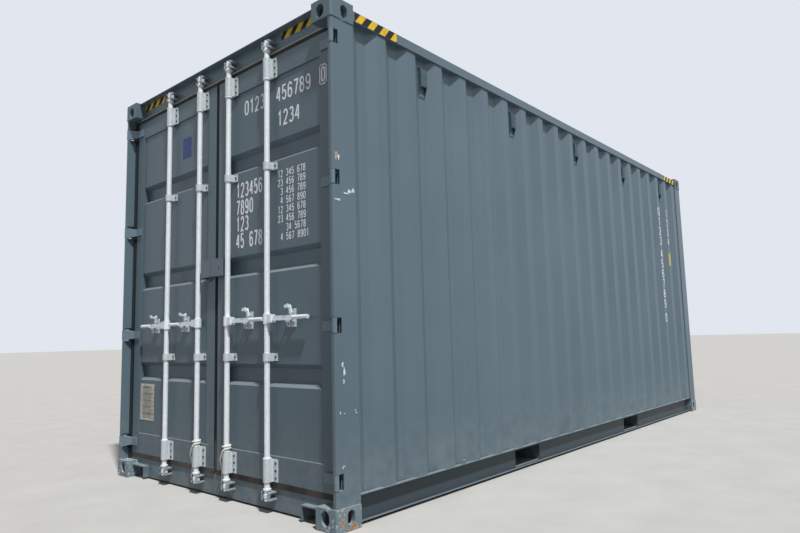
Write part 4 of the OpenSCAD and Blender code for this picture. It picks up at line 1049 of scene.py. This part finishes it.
# %% Flakes
FLAKE_SIDES, FLAKE_RINGS = 28, np.array([1e-4, 0.5, 1.0])
POST_Y = RIGHT + FRAME_SETBACK - FILM_LIFT
PALE_FLAKES = [
    (-2.978, 1.972, 0.012, 0.030, 0.4), (-2.925, 1.778, 0.040, 0.008, 1.1),
    (-2.900, 1.792, 0.026, 0.018, 2.3), (-2.872, 1.800, 0.022, 0.022, 3.0),
    (-2.988, 1.735, 0.046, 0.009, 4.2), (-2.970, 0.850, 0.012, 0.026, 5.1),
    (-2.958, 0.812, 0.014, 0.040, 2.6), (-2.962, 0.762, 0.010, 0.024, 0.9),
    (-2.990, 0.602, 0.007, 0.014, 1.7), (-2.960, 0.596, 0.010, 0.004, 2.9),
    (-2.880, 0.606, 0.006, 0.010, 0.2), (-2.874, 0.592, 0.010, 0.005, 1.9),
    (-2.976, 0.324, 0.006, 0.016, 3.6), (-2.966, 0.330, 0.008, 0.006, 4.4),
]
TAN_FLAKES = [(-2.998, 1.975, 0.016, 0.044, 1.3), (-2.990, 1.990, 0.010, 0.020, 2.2)]


def flakes(name, places, mat, body):
    """Patches on the post's side, each from its x, z, width, height and seed s. The edge is
    at 1 + 0.22 sin(3a + s) + 0.16 sin(5a + 2.1s) + 0.10 sin(9a + 3.7s) at the angle a, and
    the point (k, a) lies at k times that."""
    angle = around(FLAKE_SIDES)
    k = FLAKE_RINGS[:, None]
    verts = []
    for x, z, width, height, seed in places:
        edge = 1 + 0.22 * np.sin(3 * angle + seed) + 0.16 * np.sin(5 * angle + 2.1 * seed)
        edge = edge + 0.10 * np.sin(9 * angle + 3.7 * seed)
        px = x + 0.5 * width * k * (edge * np.cos(angle))[None]
        pz = z + 0.5 * height * k * (edge * np.sin(angle))[None]
        verts.append(np.stack([px, np.full_like(px, POST_Y), pz], -1))
    faces = copies(skin(len(k), FLAKE_SIDES, True), len(places), len(k) * FLAKE_SIDES)
    return thicken(make_object(name, np.array(verts).reshape(-1, 3), faces, body, mat,
                               smooth=False))


bare_primer = flat_film("primer_pale", (0.74, 0.78, 0.79), (0.48, 0.53, 0.54), 0.6)
bare_tan = flat_film("primer_tan", (0.54, 0.40, 0.28), (0.28, 0.21, 0.16), 0.8)
flakes("flakes_pale", PALE_FLAKES, bare_primer, "container")
flakes("flakes_tan", TAN_FLAKES, bare_tan, "container")
print("flakes placed:", len(PALE_FLAKES) + len(TAN_FLAKES))

# %% [markdown]
# ## The floor
#
# The container stands on a wide pale floor that keeps its shadow. A pale floor also
# throws light upwards, which would wash out the underside and the shadow. Light
# Path tells the camera's rays from all others, so the floor looks pale to the
# camera and is darker to the light that bounces off it.

# %% Floor
FLOOR_HALF, GRIT = 120.0, 3.0
FLOOR_SEEN, FLOOR_GRIT, FLOOR_BOUNCE = (0.47, 0.46, 0.435), (0.52, 0.51, 0.485), (0.31, 0.31, 0.305)


def stage_floor():
    """A square at ground height: its material is pale where Light Path says Camera Ray."""
    m, tree, shader = material("floor_pale", specular=0.2)
    grit = band(tree, noise(tree, GRIT, detail=8.0, rough=0.6), 0.3, 0.7)
    seen = node(tree, "LightPath").outputs["Is Camera Ray"]
    pale = mixed(tree, grit, FLOOR_SEEN, FLOOR_GRIT)
    finish(tree, shader, mixed(tree, seen, FLOOR_BOUNCE, pale), 0.9)
    verts = [(x * FLOOR_HALF, y * FLOOR_HALF, 0) for x, y in ((-1, -1), (1, -1), (1, 1), (-1, 1))]
    obj = make_object("stage_floor", verts, [(0, 1, 2, 3)], mat=m, smooth=False)


stage_floor()
print("floor:", 2 * FLOOR_HALF, "m wide")

# %% [markdown]
# ## Sky and lamps
#
# Outdoors, the light comes from a high sun and from the whole sky. An area lamp near
# the box would fade along its six metres, so the sun is a sun lamp, which is equally
# strong everywhere. The sky is a plain colour: strong for the rays that show it, in
# the picture or in a reflection, and weak for those that light the paint. A second,
# very wide lamp softens the shadows on the right-hand side.

# %% Sky and lamps
SKY, SKY_LIGHT, SKY_SEEN = (0.86, 0.90, 0.98), 0.20, 0.88
KEY_FROM, KEY_ENERGY, KEY_SPREAD = (-0.19, -0.45, 0.87), 3.9, 3.0
FILL_FROM, FILL_ENERGY, FILL_SPREAD = (-0.02, -1.00, 0.30), 0.12, 60.0


def sky():
    """A world of one colour: its strength is that of the seen sky for camera, glossy and
    transmission rays, and that of the lighting sky for all others."""
    world = bpy.data.worlds.new("sky")
    bpy.context.scene.world = world
    world.use_nodes = True
    tree = world.node_tree
    background = tree.nodes["Background"]
    rays = node(tree, "LightPath").outputs
    mirrored = maths(tree, "MAXIMUM", rays["Is Glossy Ray"], rays["Is Transmission Ray"])
    seen = maths(tree, "MAXIMUM", rays["Is Camera Ray"], mirrored)
    feed(tree, background.inputs["Color"], SKY)
    feed(tree, background.inputs["Strength"], band(tree, seen, 0.0, 1.0, (SKY_LIGHT, SKY_SEEN)))


def soft_sun(name, towards, energy, spread):
    """A sun lamp: the direction points from the object to the lamp, the spread is in degrees."""
    lamp = bpy.data.objects.new(name, bpy.data.lights.new(name, "SUN"))
    lamp.data.energy, lamp.data.angle = energy, math.radians(spread)
    lamp.rotation_mode = "QUATERNION"
    lamp.rotation_quaternion = Vector(towards).normalized().to_track_quat("Z", "Y")
    bpy.context.collection.objects.link(lamp)


sky()
soft_sun("key", KEY_FROM, KEY_ENERGY, KEY_SPREAD)
soft_sun("fill", FILL_FROM, FILL_ENERGY, FILL_SPREAD)
print("sky and lamps set")
